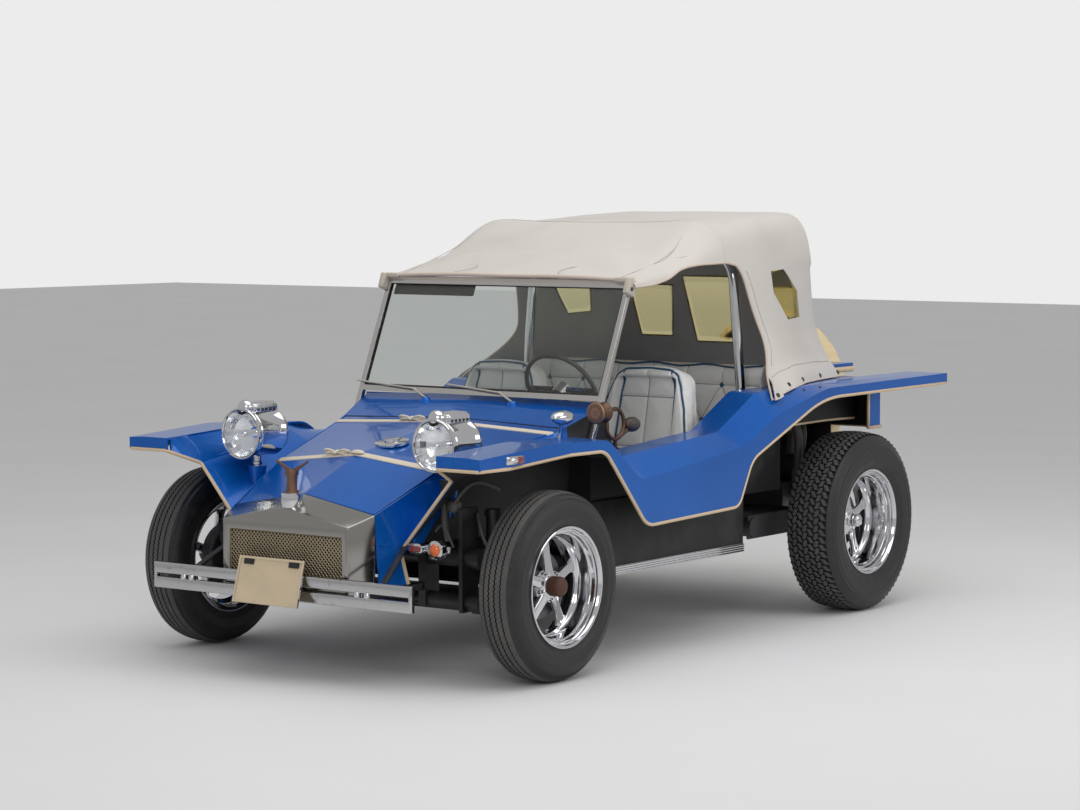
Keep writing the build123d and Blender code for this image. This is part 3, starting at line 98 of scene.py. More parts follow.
class Paint:
    """Node tree of one material around a Principled shader."""

    def __init__(self, name: str) -> None:
        """Start an empty material with the shader and its output.

        Args:
            name: Name of the material.
        """
        self.material = bpy.data.materials.new(name)
        self.material.use_nodes = True
        self.tree = self.material.node_tree
        self.tree.nodes.clear()
        self.shader = self.tree.nodes.new("ShaderNodeBsdfPrincipled")
        output = self.tree.nodes.new("ShaderNodeOutputMaterial")
        self.tree.links.new(self.shader.outputs[0], output.inputs[0])

    def feed(self, socket: bpy.types.NodeSocket, value: object) -> None:
        """Link a wire to a socket, or set its value.

        Args:
            socket: Input to fill.
            value: A wire, a number or a colour.
        """
        if isinstance(value, Wire):
            self.tree.links.new(value.socket, socket)
        elif isinstance(value, (tuple, list)) and len(value) == 3 and len(socket.default_value) == 4:
            socket.default_value = (*value, 1.0)
        else:
            socket.default_value = value

    def node(self, kind: str, settings: dict, *values: object, output: int = 0, **named: object) -> Wire:
        """Add one node.

        Args:
            kind: Type of the node.
            settings: Its options, set first.
            values: Values or wires for its first inputs, None to leave one.
            output: Index of the output to return.
            named: Values or wires by the input's name, with _ for a space.

        Returns:
            The chosen output.
        """
        made = self.tree.nodes.new(kind)
        for key, value in settings.items():
            setattr(made, key, value)
        for socket, value in zip(made.inputs, values):
            if value is not None:
                self.feed(socket, value)
        for key, value in named.items():
            self.feed(made.inputs[key.replace("_", " ")], value)
        return Wire(self, made.outputs[output])

    def place(self) -> Wire:
        """Point on the piece in the car's own frame."""
        return self.node("ShaderNodeTexCoord", {}, output=3)

    def axis(self, index: int) -> Wire:
        """One coordinate of the point, 0 for x, 1 for y and 2 for z."""
        return self.node("ShaderNodeSeparateXYZ", {}, self.place(), output=index)

    def noise(self, scale: float, detail: float = 3.0) -> Wire:
        """Even noise about 0.5, with so many cells per metre and octaves."""
        return self.node("ShaderNodeTexNoise", {}, Vector=self.place(), Scale=scale, Detail=detail)

    def cells(self, scale: float) -> Wire:
        """Distance in a cell pattern of so many cells per metre."""
        return self.node("ShaderNodeTexVoronoi", {}, Vector=self.place(), Scale=scale)

    def blend(self, share: Wire, low: object, high: object) -> Wire:
        """Mix two colours: a share of 0 gives low and 1 gives high."""
        skipped = [None] * 5
        return self.node("ShaderNodeMix", {"data_type": "RGBA"}, share, *skipped, low, high, output=2)

    def bump(self, height: Wire, depth: float, strength: float = 1.0) -> Wire:
        """Normal of a height field whose full height is depth metres."""
        return self.node("ShaderNodeBump", {}, Strength=strength, Distance=depth, Height=height)

    def finish(self, **inputs: object) -> bpy.types.Material:
        """Fill the shader's inputs.

        Args:
            inputs: Values or wires by the input's name, with _ for a space.

        Returns:
            The material.
        """
        for key, value in inputs.items():
            self.feed(self.shader.inputs[key.replace("_", " ")], value)
        return self.material


# Finishes


@dataclass(frozen=True)
class CandyPaint:
    """Gloss gel coat with metal flakes under a clear coat."""

    deep: Colour = (0.0003, 0.05, 0.29)
    light: Colour = (0.001, 0.125, 0.52)

    def make(self) -> bpy.types.Material:
        """Build the material."""
        paint = Paint("candy_blue")
        flakes = paint.cells(420.0)
        drift = paint.noise(2.2, 2.0)
        colour = paint.blend((flakes * 0.9 + drift * 0.5).step(0.2, 0.9), self.deep, self.light)
        wave = paint.noise(7.0, 1.0)
        return paint.finish(
            Base_Color=colour, Metallic=0.4, Roughness=0.34, Specular_IOR_Level=0.15, Coat_Weight=0.55,
            Coat_Roughness=0.02,
            Normal=paint.bump(wave, 0.0012, 0.5))


@dataclass(frozen=True)
class Metal:
    """Plated, polished or cast metal with a little wear."""

    name: str
    colour: Colour
    roughness: float = 0.08
    wear: float = 0.08
    grain: float = 60.0
    dirt: Colour = (0.2, 0.17, 0.14)
    dirt_share: float = 0.1
    relief: float = 0.0002

    def make(self) -> bpy.types.Material:
        """Build the material."""
        paint = Paint(self.name)
        smear = paint.noise(self.grain, 4.0)
        spots = paint.noise(self.grain * 2.3, 5.0).step(0.58, 0.8)
        colour = paint.blend(spots * self.dirt_share, self.colour, self.dirt)
        return paint.finish(
            Base_Color=colour, Metallic=1.0, Roughness=smear * self.wear + self.roughness,
            Normal=paint.bump(smear, self.relief, 0.4))


@dataclass(frozen=True)
class Enamel:
    """Sprayed or moulded surface, not metallic."""

    name: str
    colour: Colour
    roughness: float = 0.45
    grain: float = 220.0
    relief: float = 0.0003
    dust: Colour = (0.16, 0.15, 0.14)
    dust_share: float = 0.15
    coat: float = 0.0

    def make(self) -> bpy.types.Material:
        """Build the material."""
        paint = Paint(self.name)
        fine = paint.noise(self.grain, 3.0)
        cloud = paint.noise(9.0, 4.0).step(0.45, 0.75)
        colour = paint.blend(cloud * self.dust_share, self.colour, self.dust)
        return paint.finish(
            Base_Color=colour, Roughness=cloud * 0.12 + self.roughness, Coat_Weight=self.coat,
            Normal=paint.bump(fine, self.relief, 0.6))


@dataclass(frozen=True)
class Cloth:
    """Woven canvas or grained vinyl."""

    name: str
    colour: Colour
    stain: Colour
    roughness: float = 0.75
    threads: float = 900.0
    relief: float = 0.0003
    stain_share: float = 0.5

    def make(self) -> bpy.types.Material:
        """Build the material."""
        paint = Paint(self.name)
        weave = (paint.axis(0) * self.threads).sine() + (paint.axis(1) * self.threads).sine()
        weave = weave + (paint.axis(2) * self.threads).sine()
        cloud = paint.noise(3.2, 5.0).step(0.42, 0.8)
        fine = paint.noise(45.0, 3.0)
        colour = paint.blend(cloud * self.stain_share, self.colour, self.stain)
        return paint.finish(
            Base_Color=colour, Roughness=fine * 0.1 + self.roughness, Sheen_Weight=0.08,
            Normal=paint.bump(weave * 0.3 + fine * 1.5, self.relief, 0.5))


@dataclass(frozen=True)
class Clear:
    """Glass or clear plastic sheet."""

    name: str
    colour: Colour
    roughness: float = 0.0
    ior: float = 1.45
    haze: float = 0.0
    ripple: float = 0.0002

    def make(self) -> bpy.types.Material:
        """Build the material."""
        paint = Paint(self.name)
        wave = paint.noise(9.0, 2.0)
        return paint.finish(
            Base_Color=self.colour, Roughness=wave * self.haze + self.roughness, IOR=self.ior,
            Transmission_Weight=1.0, Normal=paint.bump(wave, self.ripple, 0.3))


@dataclass(frozen=True)
class Rubber:
    """Tyre rubber, a little grey on the worn tread."""

    name: str = "tyre_rubber"

    def make(self) -> bpy.types.Material:
        """Build the material."""
        paint = Paint(self.name)
        dust = paint.noise(26.0, 5.0).step(0.4, 0.8)
        fine = paint.noise(500.0, 2.0)
        colour = paint.blend(dust * 0.5, (0.012, 0.012, 0.013), (0.038, 0.036, 0.034))
        return paint.finish(
            Base_Color=colour, Roughness=dust * 0.2 + 0.45, Normal=paint.bump(fine, 0.0002, 0.5))


class Finishes:
    """Every finish of the car, made once and shared."""

    def __init__(self) -> None:
        """Make the materials."""
        made = [
            CandyPaint(),
            Metal("chrome", (0.66, 0.66, 0.68), 0.04, 0.05),
            Metal("rim_chrome", (0.66, 0.66, 0.68), 0.05, 0.08),
            Metal("aged_chrome", (0.52, 0.52, 0.53), 0.05, 0.1, 26.0, (0.08, 0.06, 0.05), 0.5),
            Metal("lamp_silver", (0.86, 0.87, 0.9), 0.06, 0.14, grain=50.0, relief=0.0015),
            Metal("satin_metal", (0.34, 0.33, 0.31), 0.13, 0.06, 7.0, (0.2, 0.18, 0.15), 0.25, 0.0),
            Metal("screen_metal", (0.58, 0.56, 0.54), 0.13, 0.08, relief=0.0),
            Metal("gold_mesh", (0.5, 0.41, 0.28), 0.35, 0.2),
            Metal("copper", (0.22, 0.13, 0.09), 0.4, 0.25, dirt=(0.08, 0.05, 0.04), dirt_share=0.6),
            Metal("brass", (0.14, 0.085, 0.06), 0.35, 0.25, dirt=(0.12, 0.07, 0.05), dirt_share=0.5),
            Metal("horn_copper", (0.42, 0.25, 0.17), 0.32, 0.2, dirt=(0.15, 0.09, 0.06), dirt_share=0.4),
            Enamel("hose_grey", (0.075, 0.073, 0.07), 0.5, dust=(0.14, 0.13, 0.12), dust_share=0.4),
            Metal("grey_castings", (0.17, 0.17, 0.18), 0.48, 0.2, grain=120.0, relief=0.0008),
            # This black is black paint on most parts, and painted shade in the steering spokes' holes and under the
            # front beam.
            Enamel("black_paint", (0.01, 0.01, 0.011), 0.42),
            # This black is the floor pan's colour, and painted shade on the tub's faces that look down or into the
            # arches.
            Enamel("side_black", (0.009, 0.009, 0.01), 0.55, grain=160.0, relief=0.0012),
            Enamel("cream_welt", (0.66, 0.5, 0.33), 0.42, grain=300.0, dust=(0.4, 0.28, 0.17)),
            Enamel("cream_leather", (0.7, 0.62, 0.5), 0.5, grain=260.0, dust=(0.45, 0.36, 0.26)),
            Enamel("cream_metal", (0.5, 0.45, 0.37), 0.35),
            Enamel("dark_plastic", (0.03, 0.02, 0.014), 0.3),
            Enamel("plate_tan", (0.62, 0.5, 0.34), 0.35),
            Enamel("rear_cloth", (0.74, 0.6, 0.36), 0.75, relief=0.0008, dust=(0.55, 0.42, 0.24)),
            Enamel("blue_trim", (0.01, 0.07, 0.15), 0.35, dust=(0.02, 0.09, 0.18)),
            Cloth("canvas", (0.6, 0.57, 0.53), (0.5, 0.46, 0.4), 0.72),
            Cloth("canvas_inside", (0.02, 0.017, 0.015), (0.035, 0.028, 0.022), 0.8),
            Cloth("white_vinyl", (0.76, 0.75, 0.73), (0.66, 0.63, 0.58), 0.42, 1500.0, 0.0002),
            Clear("glass", (0.93, 0.98, 0.95)),
            Clear("lamp_glass", (0.97, 0.98, 0.98), ripple=0.0006),
            Clear("vinyl", (0.8, 0.72, 0.4), 0.12, 1.12, 0.1, 0.002),
            Enamel("amber_lens", (0.75, 0.13, 0.012), 0.12, 60.0, 0.0008, (0.4, 0.05, 0.01), 0.5, 1.0),
            Enamel("red_lens", (0.2, 0.012, 0.008), 0.12, 60.0, 0.0008, (0.1, 0.01, 0.01), 0.5, 1.0),
            Enamel("radiator_black", (0.022, 0.019, 0.016), 0.6, 400.0, 0.001),
            Rubber(),
            Enamel("tread_dust", (0.075, 0.072, 0.07), 0.8, grain=400.0, dust=(0.13, 0.125, 0.12), dust_share=0.5),
            Enamel("rust_cap", (0.07, 0.022, 0.011), 0.55, grain=90.0, relief=0.0005, dust=(0.1, 0.045, 0.025),
                   dust_share=0.6),
            # This dark finish is the colour of the snaps, studs, screws and horn bulb, and painted shade in the holes
            # of the headlamp boxes and the horn's disc.
            Enamel("dark_snap", (0.03, 0.024, 0.02), 0.35),
            Enamel("thread", (0.2, 0.19, 0.18), 0.6),
            Enamel("canvas_seam", (0.46, 0.42, 0.38), 0.75),
            Enamel("canvas_welt", (0.6, 0.49, 0.41), 0.65, dust=(0.42, 0.33, 0.27)),
        ]
        self.by_name = {}
        for finish in made:
            material = finish.make()
            self.by_name[material.name.split(".")[0]] = material

    def put(self, piece: Piece, *names: str) -> None:
        """Give a piece these materials in its slots.

        Args:
            piece: The piece to dress.
            names: Names of the finishes, one for each slot.
        """
        slots = [face.material_index for face in piece.data.polygons] if len(names) > 1 else None
        piece.data.materials.clear()
        for name in names:
            piece.data.materials.append(self.by_name[name])
        if slots:
            piece.data.polygons.foreach_set("material_index", slots)


# Bench tools


def leave_edit() -> None:
    """Go back to object mode."""
    bpy.ops.object.mode_set(mode="OBJECT")


def deselect() -> None:
    """Leave edit mode and select nothing."""
    if bpy.context.object and bpy.context.object.mode != "OBJECT":
        leave_edit()
    bpy.ops.object.select_all(action="DESELECT")


def activate(piece: Piece) -> None:
    """Select one piece alone and make it active."""
    deselect()
    piece.select_set(True)
    bpy.context.view_layer.objects.active = piece


def settle(piece: Piece) -> None:
    """Put a piece's place, turn and size into its mesh."""
    activate(piece)
    bpy.ops.object.transform_apply(location=True, rotation=True, scale=True)


def modify(piece: Piece, kind: str, **settings: object) -> None:
    """Add a modifier and apply it.

    Args:
        piece: The piece to change.
        kind: Type of the modifier.
        settings: Its options.
    """
    activate(piece)
    modifier = piece.modifiers.new(kind.lower(), kind)
    for key, value in settings.items():
        setattr(modifier, key, value)
    bpy.ops.object.modifier_apply(modifier=modifier.name)


def smooth(piece: Piece, degrees: float = 32.0) -> None:
    """Shade a piece smooth, apart from edges sharper than the angle."""
    activate(piece)
    bpy.ops.object.shade_smooth_by_angle(angle=math.radians(degrees))


def edit(piece: Piece) -> None:
    """Open a piece in edit mode with all of it selected."""
    activate(piece)
    bpy.ops.object.mode_set(mode="EDIT")
    bpy.ops.mesh.select_all(action="SELECT")


def face_out(piece: Piece, gap: float = 0.0) -> Piece:
    """Turn every face of a piece outwards.

    Args:
        piece: The piece.
        gap: Points nearer than this are merged first, in metres, 0 for none.

    Returns:
        The same piece.
    """
    edit(piece)
    if gap:
        bpy.ops.mesh.remove_doubles(threshold=gap)
    bpy.ops.mesh.normals_make_consistent(inside=False)
    leave_edit()
    return piece


def tidy_faces(piece: Piece, gap: float = 1e-5, degrees: float = 32.0) -> Piece:
    """Merge doubles, turn every face outwards and shade the piece.

    Args:
        piece: The piece to tidy.
        gap: Points nearer than this are merged, in metres.
        degrees: Edges sharper than this stay sharp.

    Returns:
        The same piece.
    """
    smooth(face_out(piece, gap), degrees)
    return piece


def link(name: str, data: bpy.types.ID) -> Piece:
    """Put an object with this data into the scene."""
    made = bpy.data.objects.new(name, data)
    bpy.context.scene.collection.objects.link(made)
    return made


def meshed(name: str, points: Points, edges: Sequence = (), faces: Sequence = ()) -> Piece:
    """Link a new piece made from points, edges and faces."""
    mesh = bpy.data.meshes.new(name)
    mesh.from_pydata([tuple(p) for p in points], list(edges), list(faces))
    return link(name, mesh)


def lathe(name: str, profile: Points, centre: Point, axis: Point,
          steps: int = 64, degrees: float = 32.0) -> Piece:
    """Spin a profile about an axis.

    Args:
        name: Name of the piece.
        profile: Points as (distance from the axis, distance along it).
        centre: Start of the axis.
        axis: Direction of the axis.
        steps: Faces around.
        degrees: Edges sharper than this stay sharp.

    Returns:
        The closed shape of revolution.
    """
    along = Vector(axis).normalized()
    across = along.orthogonal().normalized()
    points = [Vector(centre) + across * r + along * a for r, a in profile]
    piece = meshed(name, points, [(k, k + 1) for k in range(len(points) - 1)])
    edit(piece)
    bpy.ops.mesh.spin(steps=steps, angle=math.tau, center=tuple(centre), axis=tuple(along))
    return tidy_faces(piece, 1e-5, degrees)


def sheet_of_rows(name: str, rows: Sequence[Points], loop: bool = False, middle: bool = False) -> Piece:
    """Join rows of points with faces.

    Args:
        name: Name of the piece.
        rows: Rows of equally many points.
        loop: Whether each row closes on itself.
        middle: Whether one face closes the first row.

    Returns:
        The sheet.
    """
    width = len(rows[0])
    faces = []
    for j in range(len(rows) - 1):
        for k in range(width if loop else width - 1):
            a, b = j * width + k, j * width + (k + 1) % width
            faces.append((a, b, b + width, a + width))
    if middle:
        faces.append(tuple(range(width))[::-1])
    return meshed(name, [p for row in rows for p in row], [], faces)


def tube(name: str, points: Points, radius: float, sides: int = 3, loop: bool = False,
         order: int = 3) -> Piece:
    """Sweep a round section along a smooth line and make it a mesh.

    Args:
        name: Name of the piece.
        points: Points that the line follows.
        radius: Radius of the section.
        sides: Steps of a quarter of the section.
        loop: Whether the line closes on itself.
        order: Order of the line, 2 for straight runs.

    Returns:
        The swept piece.
    """
    curve = bpy.data.curves.new(name, "CURVE")
    curve.dimensions = "3D"
    curve.bevel_depth = radius
    curve.bevel_resolution = sides
    curve.use_fill_caps = not loop
    curve.resolution_u = 6 if order > 2 else 1
    line = curve.splines.new("NURBS" if order > 2 else "POLY")
    line.points.add(len(points) - 1)
    for spot, point in zip(line.points, points):
        spot.co = (*point, 1.0)
    line.use_cyclic_u = loop
    if order > 2:
        line.order_u = order
        line.use_endpoint_u = not loop
    activate(link(name, curve))
    bpy.ops.object.convert(target="MESH")
    piece = bpy.context.object
    smooth(piece, 50.0)
    return piece


def block(name: str, low: Point, high: Point, edge: float = 0.002, steps: int = 2,
          turn: tuple[str, float] = ("X", 0.0)) -> Piece:
    """Bevelled block between two corners.

    Args:
        name: Name of the piece.
        low: Its lowest corner.
        high: Its highest corner.
        edge: Width of its rounded edges.
        steps: Steps of the rounding.
        turn: Axis and angle in degrees that it is turned by about its middle.

    Returns:
        The block.
    """
    deselect()
    middle = [(a + b) / 2 for a, b in zip(low, high)]
    bpy.ops.mesh.primitive_cube_add(size=1, location=middle)
    piece = bpy.context.object
    piece.name = name
    piece.scale = [abs(b - a) for a, b in zip(low, high)]
    piece.rotation_euler = Matrix.Rotation(math.radians(turn[1]), 3, turn[0]).to_euler()
    settle(piece)
    if edge:
        modify(piece, "BEVEL", width=edge, segments=steps, limit_method="ANGLE", angle_limit=math.radians(30))
    smooth(piece, 40.0)
    return piece


def joined(name: str, pieces: Sequence[Piece]) -> Piece:
    """Join pieces into one of this name."""
    activate(pieces[0])
    for piece in pieces:
        piece.select_set(True)
    bpy.ops.object.join()
    piece = bpy.context.object
    piece.name = name
    return piece


def twin(piece: Piece, name: str, matrix: Matrix) -> Piece:
    """Copy a piece with its own mesh, moved by a matrix.

    Args:
        piece: The piece to copy.
        name: Name of the copy.
        matrix: Move, turn or reflection of its points.

    Returns:
        The copy, facing outwards.
    """
    copy = link(name, piece.data.copy())
    copy.data.transform(matrix)
    if matrix.determinant() < 0:
        copy.data.flip_normals()
    return copy


def ring_of(piece: Piece, count: int, centre: Point, axis: str) -> Piece:
    """Repeat a piece around an axis and join the copies.

    Args:
        piece: The piece, which becomes part of the ring.
        count: Copies around, the piece among them.
        centre: Point on the axis.
        axis: Letter of the axis.

    Returns:
        The ring.
    """
    middle = Matrix.Translation(Vector(centre))
    copies = [piece]
    for k in range(1, count):
        turn = middle @ Matrix.Rotation(math.tau * k / count, 4, axis) @ middle.inverted()
        copies.append(twin(piece, f"{piece.name}_{k}", turn))
    return joined(piece.name, copies)


FLIP = Matrix.Scale(-1, 4, (1, 0, 0))


def tree_of(piece: Piece) -> BVHTree:
    """Search tree of a piece as it is now."""
    return BVHTree.FromObject(piece, bpy.context.evaluated_depsgraph_get())


def both(piece: Piece) -> Piece:
    """Add the mirror image of a piece on the car's other side."""
    return joined(piece.name, [piece, twin(piece, piece.name + "_far", FLIP)])


def merged_copy(node: str, name: str, gap: float = 2e-5) -> Piece:
    """Copy a CAD node's mesh and join its loose triangles.

    Args:
        node: Name of the node.
        name: Name of the copy.
        gap: Points nearer than this are merged, in metres.

    Returns:
        The copy, linked to the scene.
    """
    source = bpy.data.objects[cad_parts[node].name]
    piece = link(name, source.data.copy())
    mesh = bmesh.new()
    mesh.from_mesh(piece.data)
    bmesh.ops.remove_doubles(mesh, verts=mesh.verts, dist=gap)
    bmesh.ops.dissolve_limit(
        mesh, angle_limit=math.radians(0.6), verts=mesh.verts, edges=mesh.edges, use_dissolve_boundaries=False)
    mesh.to_mesh(piece.data)
    mesh.free()
    return piece


@dataclass
class CarPiece:
    """A sub-assembly that dresses nodes and adds pieces to them."""

    finishes: Finishes

    def add(self, piece: Piece, *materials: str, body: str = "chassis", replaces: Sequence[str] = ()) -> Piece:
        """Dress a finished piece and let it ride.

        Args:
            piece: The piece.
            materials: Names of its finishes.
            body: Body that it rides on.
            replaces: Nodes that it stands for.

        Returns:
            The piece.
        """
        self.finishes.put(piece, *materials)
        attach(piece, body)
        if replaces:
            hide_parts(*replaces)
        LOG.info("%s: %d faces", piece.name, len(piece.data.polygons))
        return piece

    def refine(self, node: str, *materials: str, body: str = "chassis", bevel: float = 0.0,
               segments: int = 2, angle: float = 32.0) -> Piece:
        """Replace a node with a merged, softened copy of itself.

        Args:
            node: Name of the node.
            materials: Names of its finishes.
            body: Body that it rides on.
            bevel: Width of its edge rounding in metres, 0 for none.
            segments: Steps of the rounding.
            angle: Edges sharper than this many degrees stay sharp.

        Returns:
            The new piece.
        """
        piece = merged_copy(node, node + "_skin")
        if bevel:
            modify(piece, "BEVEL", width=bevel, segments=segments, limit_method="ANGLE",
                   angle_limit=math.radians(angle), harden_normals=False, use_clamp_overlap=True)
        smooth(piece, angle)
        return self.add(piece, *materials, body=body, replaces=(node,))

    @staticmethod
    def split(piece: Piece, second: Callable[[bpy.types.MeshPolygon], bool]) -> None:
        """Give a piece's second finish to the faces that a test picks.

        Args:
            piece: The piece, with two finishes.
            second: Test of one face.
        """
        for face in piece.data.polygons:
            face.material_index = int(second(face))


@dataclass
class Studio:
    """Camera, pale floor and soft light."""

    camera_at: Spot = (6.493, -9.0615, 1.652)
    yaw: float = 35.98
    pitch: float = -4.18
    lens: float = 97.65
    sensor: float = 36.0
    floor: Colour = (0.82, 0.82, 0.82)
    floor_half: float = 30.0
    floor_shade: float = 0.93
    wall: Colour = (0.8, 0.8, 0.8)
    wall_light: float = 0.62
    wall_shown: float = 1.05
    lamps: tuple[tuple[str, Spot, Spot, Pair, float], ...] = (
        ("top_light", (1.0, -0.5, 4.6), (0, 0, 0.4), (5.0, 4.0), 95.0),
        ("front_light", (3.5, -6.5, 3.6), (0, -0.4, 0.7), (3.0, 2.0), 70.0),
        ("side_light", (6.0, 1.0, 3.2), (0, 0.2, 0.7), (4.5, 1.6), 60.0))

    def camera(self) -> None:
        """Set the camera at the photograph's viewpoint."""
        data = bpy.data.cameras.new("camera")
        data.lens, data.sensor_width, data.clip_end = self.lens, self.sensor, 100.0
        camera = link("camera", data)
        camera.location = self.camera_at
        camera.rotation_euler = (math.radians(90 + self.pitch), 0, math.radians(self.yaw))
        bpy.context.scene.camera = camera

    def ground(self) -> None:
        """Lay the plain floor."""
        half = self.floor_half
        corners = [(-half, -half, 0), (half, -half, 0), (half, half, 0), (-half, half, 0)]
        floor = meshed("floor", corners, [], [(0, 1, 2, 3)])
        paint = Paint("floor")
        shade = tuple(c * self.floor_shade for c in self.floor)
        colour = paint.blend(paint.noise(0.9, 4.0), shade, self.floor)
        floor.data.materials.append(paint.finish(Base_Color=colour, Roughness=0.75))

    def background(self) -> None:
        """Pale world that looks white to the camera and lights the car less."""
        world = bpy.data.worlds.new("world")
        world.use_nodes = True
        tree = world.node_tree
        back = tree.nodes["Background"]
        back.inputs[0].default_value = (*self.wall, 1.0)
        rays = tree.nodes.new("ShaderNodeLightPath")
        shown = tree.nodes.new("ShaderNodeMapRange")
        shown.inputs[3].default_value, shown.inputs[4].default_value = self.wall_light, self.wall_shown
        tree.links.new(rays.outputs["Is Camera Ray"], shown.inputs[0])
        tree.links.new(shown.outputs[0], back.inputs[1])
        bpy.context.scene.world = world

    def build(self) -> None:
        """Set the whole stage."""
        self.camera()
        self.ground()
        self.background()
        for name, at, aim, size, power in self.lamps:
            data = bpy.data.lights.new(name, "AREA")
            data.shape = "RECTANGLE"
            data.size, data.size_y = size
            data.energy = power
            lamp = link(name, data)
            lamp.location = at
            lamp.rotation_euler = (Vector(aim) - Vector(at)).to_track_quat("-Z", "Y").to_euler()
        bpy.context.scene.view_settings.view_transform = "Standard"


@dataclass
class BodyShell(CarPiece):
    """Blue tub with its hood, trim, straps and fittings."""

    nose_foot: Pair = (-1.385, 0.35)
    nose_slope: float = 0.715
    cabin_y: float = -0.66
    lip_z: float = 0.62
    well_half: float = 0.608
    lamp_cone: Pair = (-0.433, -1.2375)
    cone_half: float = 0.07
    cone_foot: float = 0.54
    lip_x: float = -0.3
    nose_half: float = 0.56
    under_facing: float = -0.2
    wing_inner: float = 0.585
    wing_facing: float = -0.35
    wing_top: float = 0.9
    tunnel_half: float = 0.3
    arch_tops: Pair = (0.775, 0.86)
    arch_facing: float = 0.3
    ahead_facing: float = -0.7
    ahead_y: float = -1.3
    ahead_top: float = 0.85
    welts: tuple[tuple[str, Spots, float, int, bool, int], ...] = (
        ("apron_welt", ((0.703, 1.1445, 0.862), (0.703, 1.1445, 0.79), (0.703, 1.1445, 0.709),
                        (0.703, 1.19, 0.709), (0.703, 1.2445, 0.709), (0.6, 1.2465, 0.709),
                        (0.3, 1.2465, 0.709), (0.0, 1.2465, 0.709)), 0.0068, 2, False, 2),
        ("arch_piping", ((0.604, 0.72, 0.742), (0.604, 0.8645, 0.745), (0.604, 1.0945, 0.745),
                         (0.604, 1.2, 0.742)), 0.005, 2, False, 3),
        ("ledge_welt", ((0.0, 1.4615, 0.922), (0.3, 1.4615, 0.922), (0.4, 1.4615, 0.922),
                        (0.452, 1.4615, 0.922), (0.452, 1.42, 0.922), (0.452, 1.35, 0.922),
                        (0.452, 1.3, 0.922)), 0.0105, 3, False, 3))
    knots: Pairs = ((-0.132, -0.7275), (-0.092, -1.1995))
    knot_loops: Spots = ((0.062, 0.012, 1), (0.058, 0.01, -1), (0.044, -0.002, 1), (0.05, -0.001, -1))
    plate_middle: Spot = (-0.028, -1.6395, 0.334)
    plate_up: Spot = (0.0, 0.044, 0.154)
    plate_field: Pair = (0.1355, 0.0706)
    clip_rise: float = 0.064
    clips: Pair = (-0.128, 0.072)
    clip_half: Pair = (0.022, 0.01)
    bumper_face: float = -1.6255
    bolts: Pairs = ((0.344, 0.317), (0.387, 0.317), (-0.396, 0.317), (-0.432, 0.317))
    bolt_head: Pairs = ((0.0, 0.0085), (0.005, 0.008), (0.0095, 0.0055), (0.012, 0.001), (0.012, -0.004))
    lamp_face: float = FRONT_AXLE_Y - 0.285
    round_lens: Pairs = ((0.0, 0.012), (0.008, 0.0112), (0.015, 0.008), (0.021, 0.002), (0.0215, -0.002))
    tail_lens: Pairs = ((0.0, 0.014), (0.012, 0.013), (0.024, 0.008), (0.031, 0.001), (0.031, -0.002))
    tail_at: Spot = (0.56, 1.2665, 0.8)
    bulb_y: float = FRONT_AXLE_Y + 0.664
    horn_face: Spot = (0.614, -0.6302, 0.872)
    horn_disc: Pairs = ((0.0, 0.0035), (0.03, 0.0035), (0.036, 0.003), (0.0385, 0.001), (0.0385, -0.003))
    horn_slots: int = 22
    horn_dot: Pairs = ((0.0, 0.0042), (0.0022, 0.0042), (0.0022, 0.002))

    def is_shade_black(self, face: bpy.types.MeshPolygon) -> bool:
        """Tell whether a face of the tub gets black painted shade: faces that look down, under a wing or into a wheel
        arch.

        Args:
            face: A face of the tub.

        Returns:
            True for black painted shade, False for blue.
        """
        x, y, z = face.center
        across = abs(x)
        out = face.normal.x * math.copysign(1.0, x)
        foot_y, foot_z = self.nose_foot
        behind_nose = y - foot_y > (z - foot_z) * self.nose_slope
        below = face.normal.z < self.under_facing and not (across < self.nose_half and y < foot_y)
        inward = across > self.wing_inner and out < self.wing_facing and z < self.wing_top
        in_well = across < self.well_half and out > self.arch_facing
        front_top, rear_top = self.arch_tops
        arch = in_well and across > self.tunnel_half and z < front_top and y < self.cabin_y and behind_nose
        rear_arch = in_well and z < rear_top and y > self.cabin_y
        ahead = face.normal.y < self.ahead_facing and y > self.ahead_y and z < self.ahead_top
        lip = x < self.lip_x and y < self.cabin_y and z > self.lip_z
        cone_x, cone_y = self.lamp_cone
        cone = abs(x - cone_x) < self.cone_half and abs(y - cone_y) < self.cone_half and z > self.cone_foot
        return (below or inward or arch or rear_arch or ahead) and not (lip or cone)

    def tub(self) -> None:
        """Dress the tub, cut along the planes where the black painted shade meets the blue."""
        skin = self.refine("body_tub", "candy_blue", "side_black", bevel=0.005, angle=8.0, segments=3)
        mesh = bmesh.new()
        mesh.from_mesh(skin.data)
        for place, facing in (((0, *self.nose_foot), (0, 1, -self.nose_slope)), ((0, self.cabin_y, 0), (0, 1, 0)),
                              ((0, 0, self.lip_z), (0, 0, 1))):
            whole = [*mesh.verts, *mesh.edges, *mesh.faces]
            bmesh.ops.bisect_plane(mesh, geom=whole, plane_co=place, plane_no=facing)
        mesh.to_mesh(skin.data)
        mesh.free()
        # Faces that look down, under the wings or into the arches get black as painted shade.
        self.split(skin, self.is_shade_black)

    def trim(self) -> None:
        """Cream welts of the edges, the tail and the rear ledge."""
        self.refine("edge_trim", "cream_welt", angle=50.0)
        self.add(both(joined("tail_welts", [tube(*welt) for welt in self.welts])), "cream_welt")

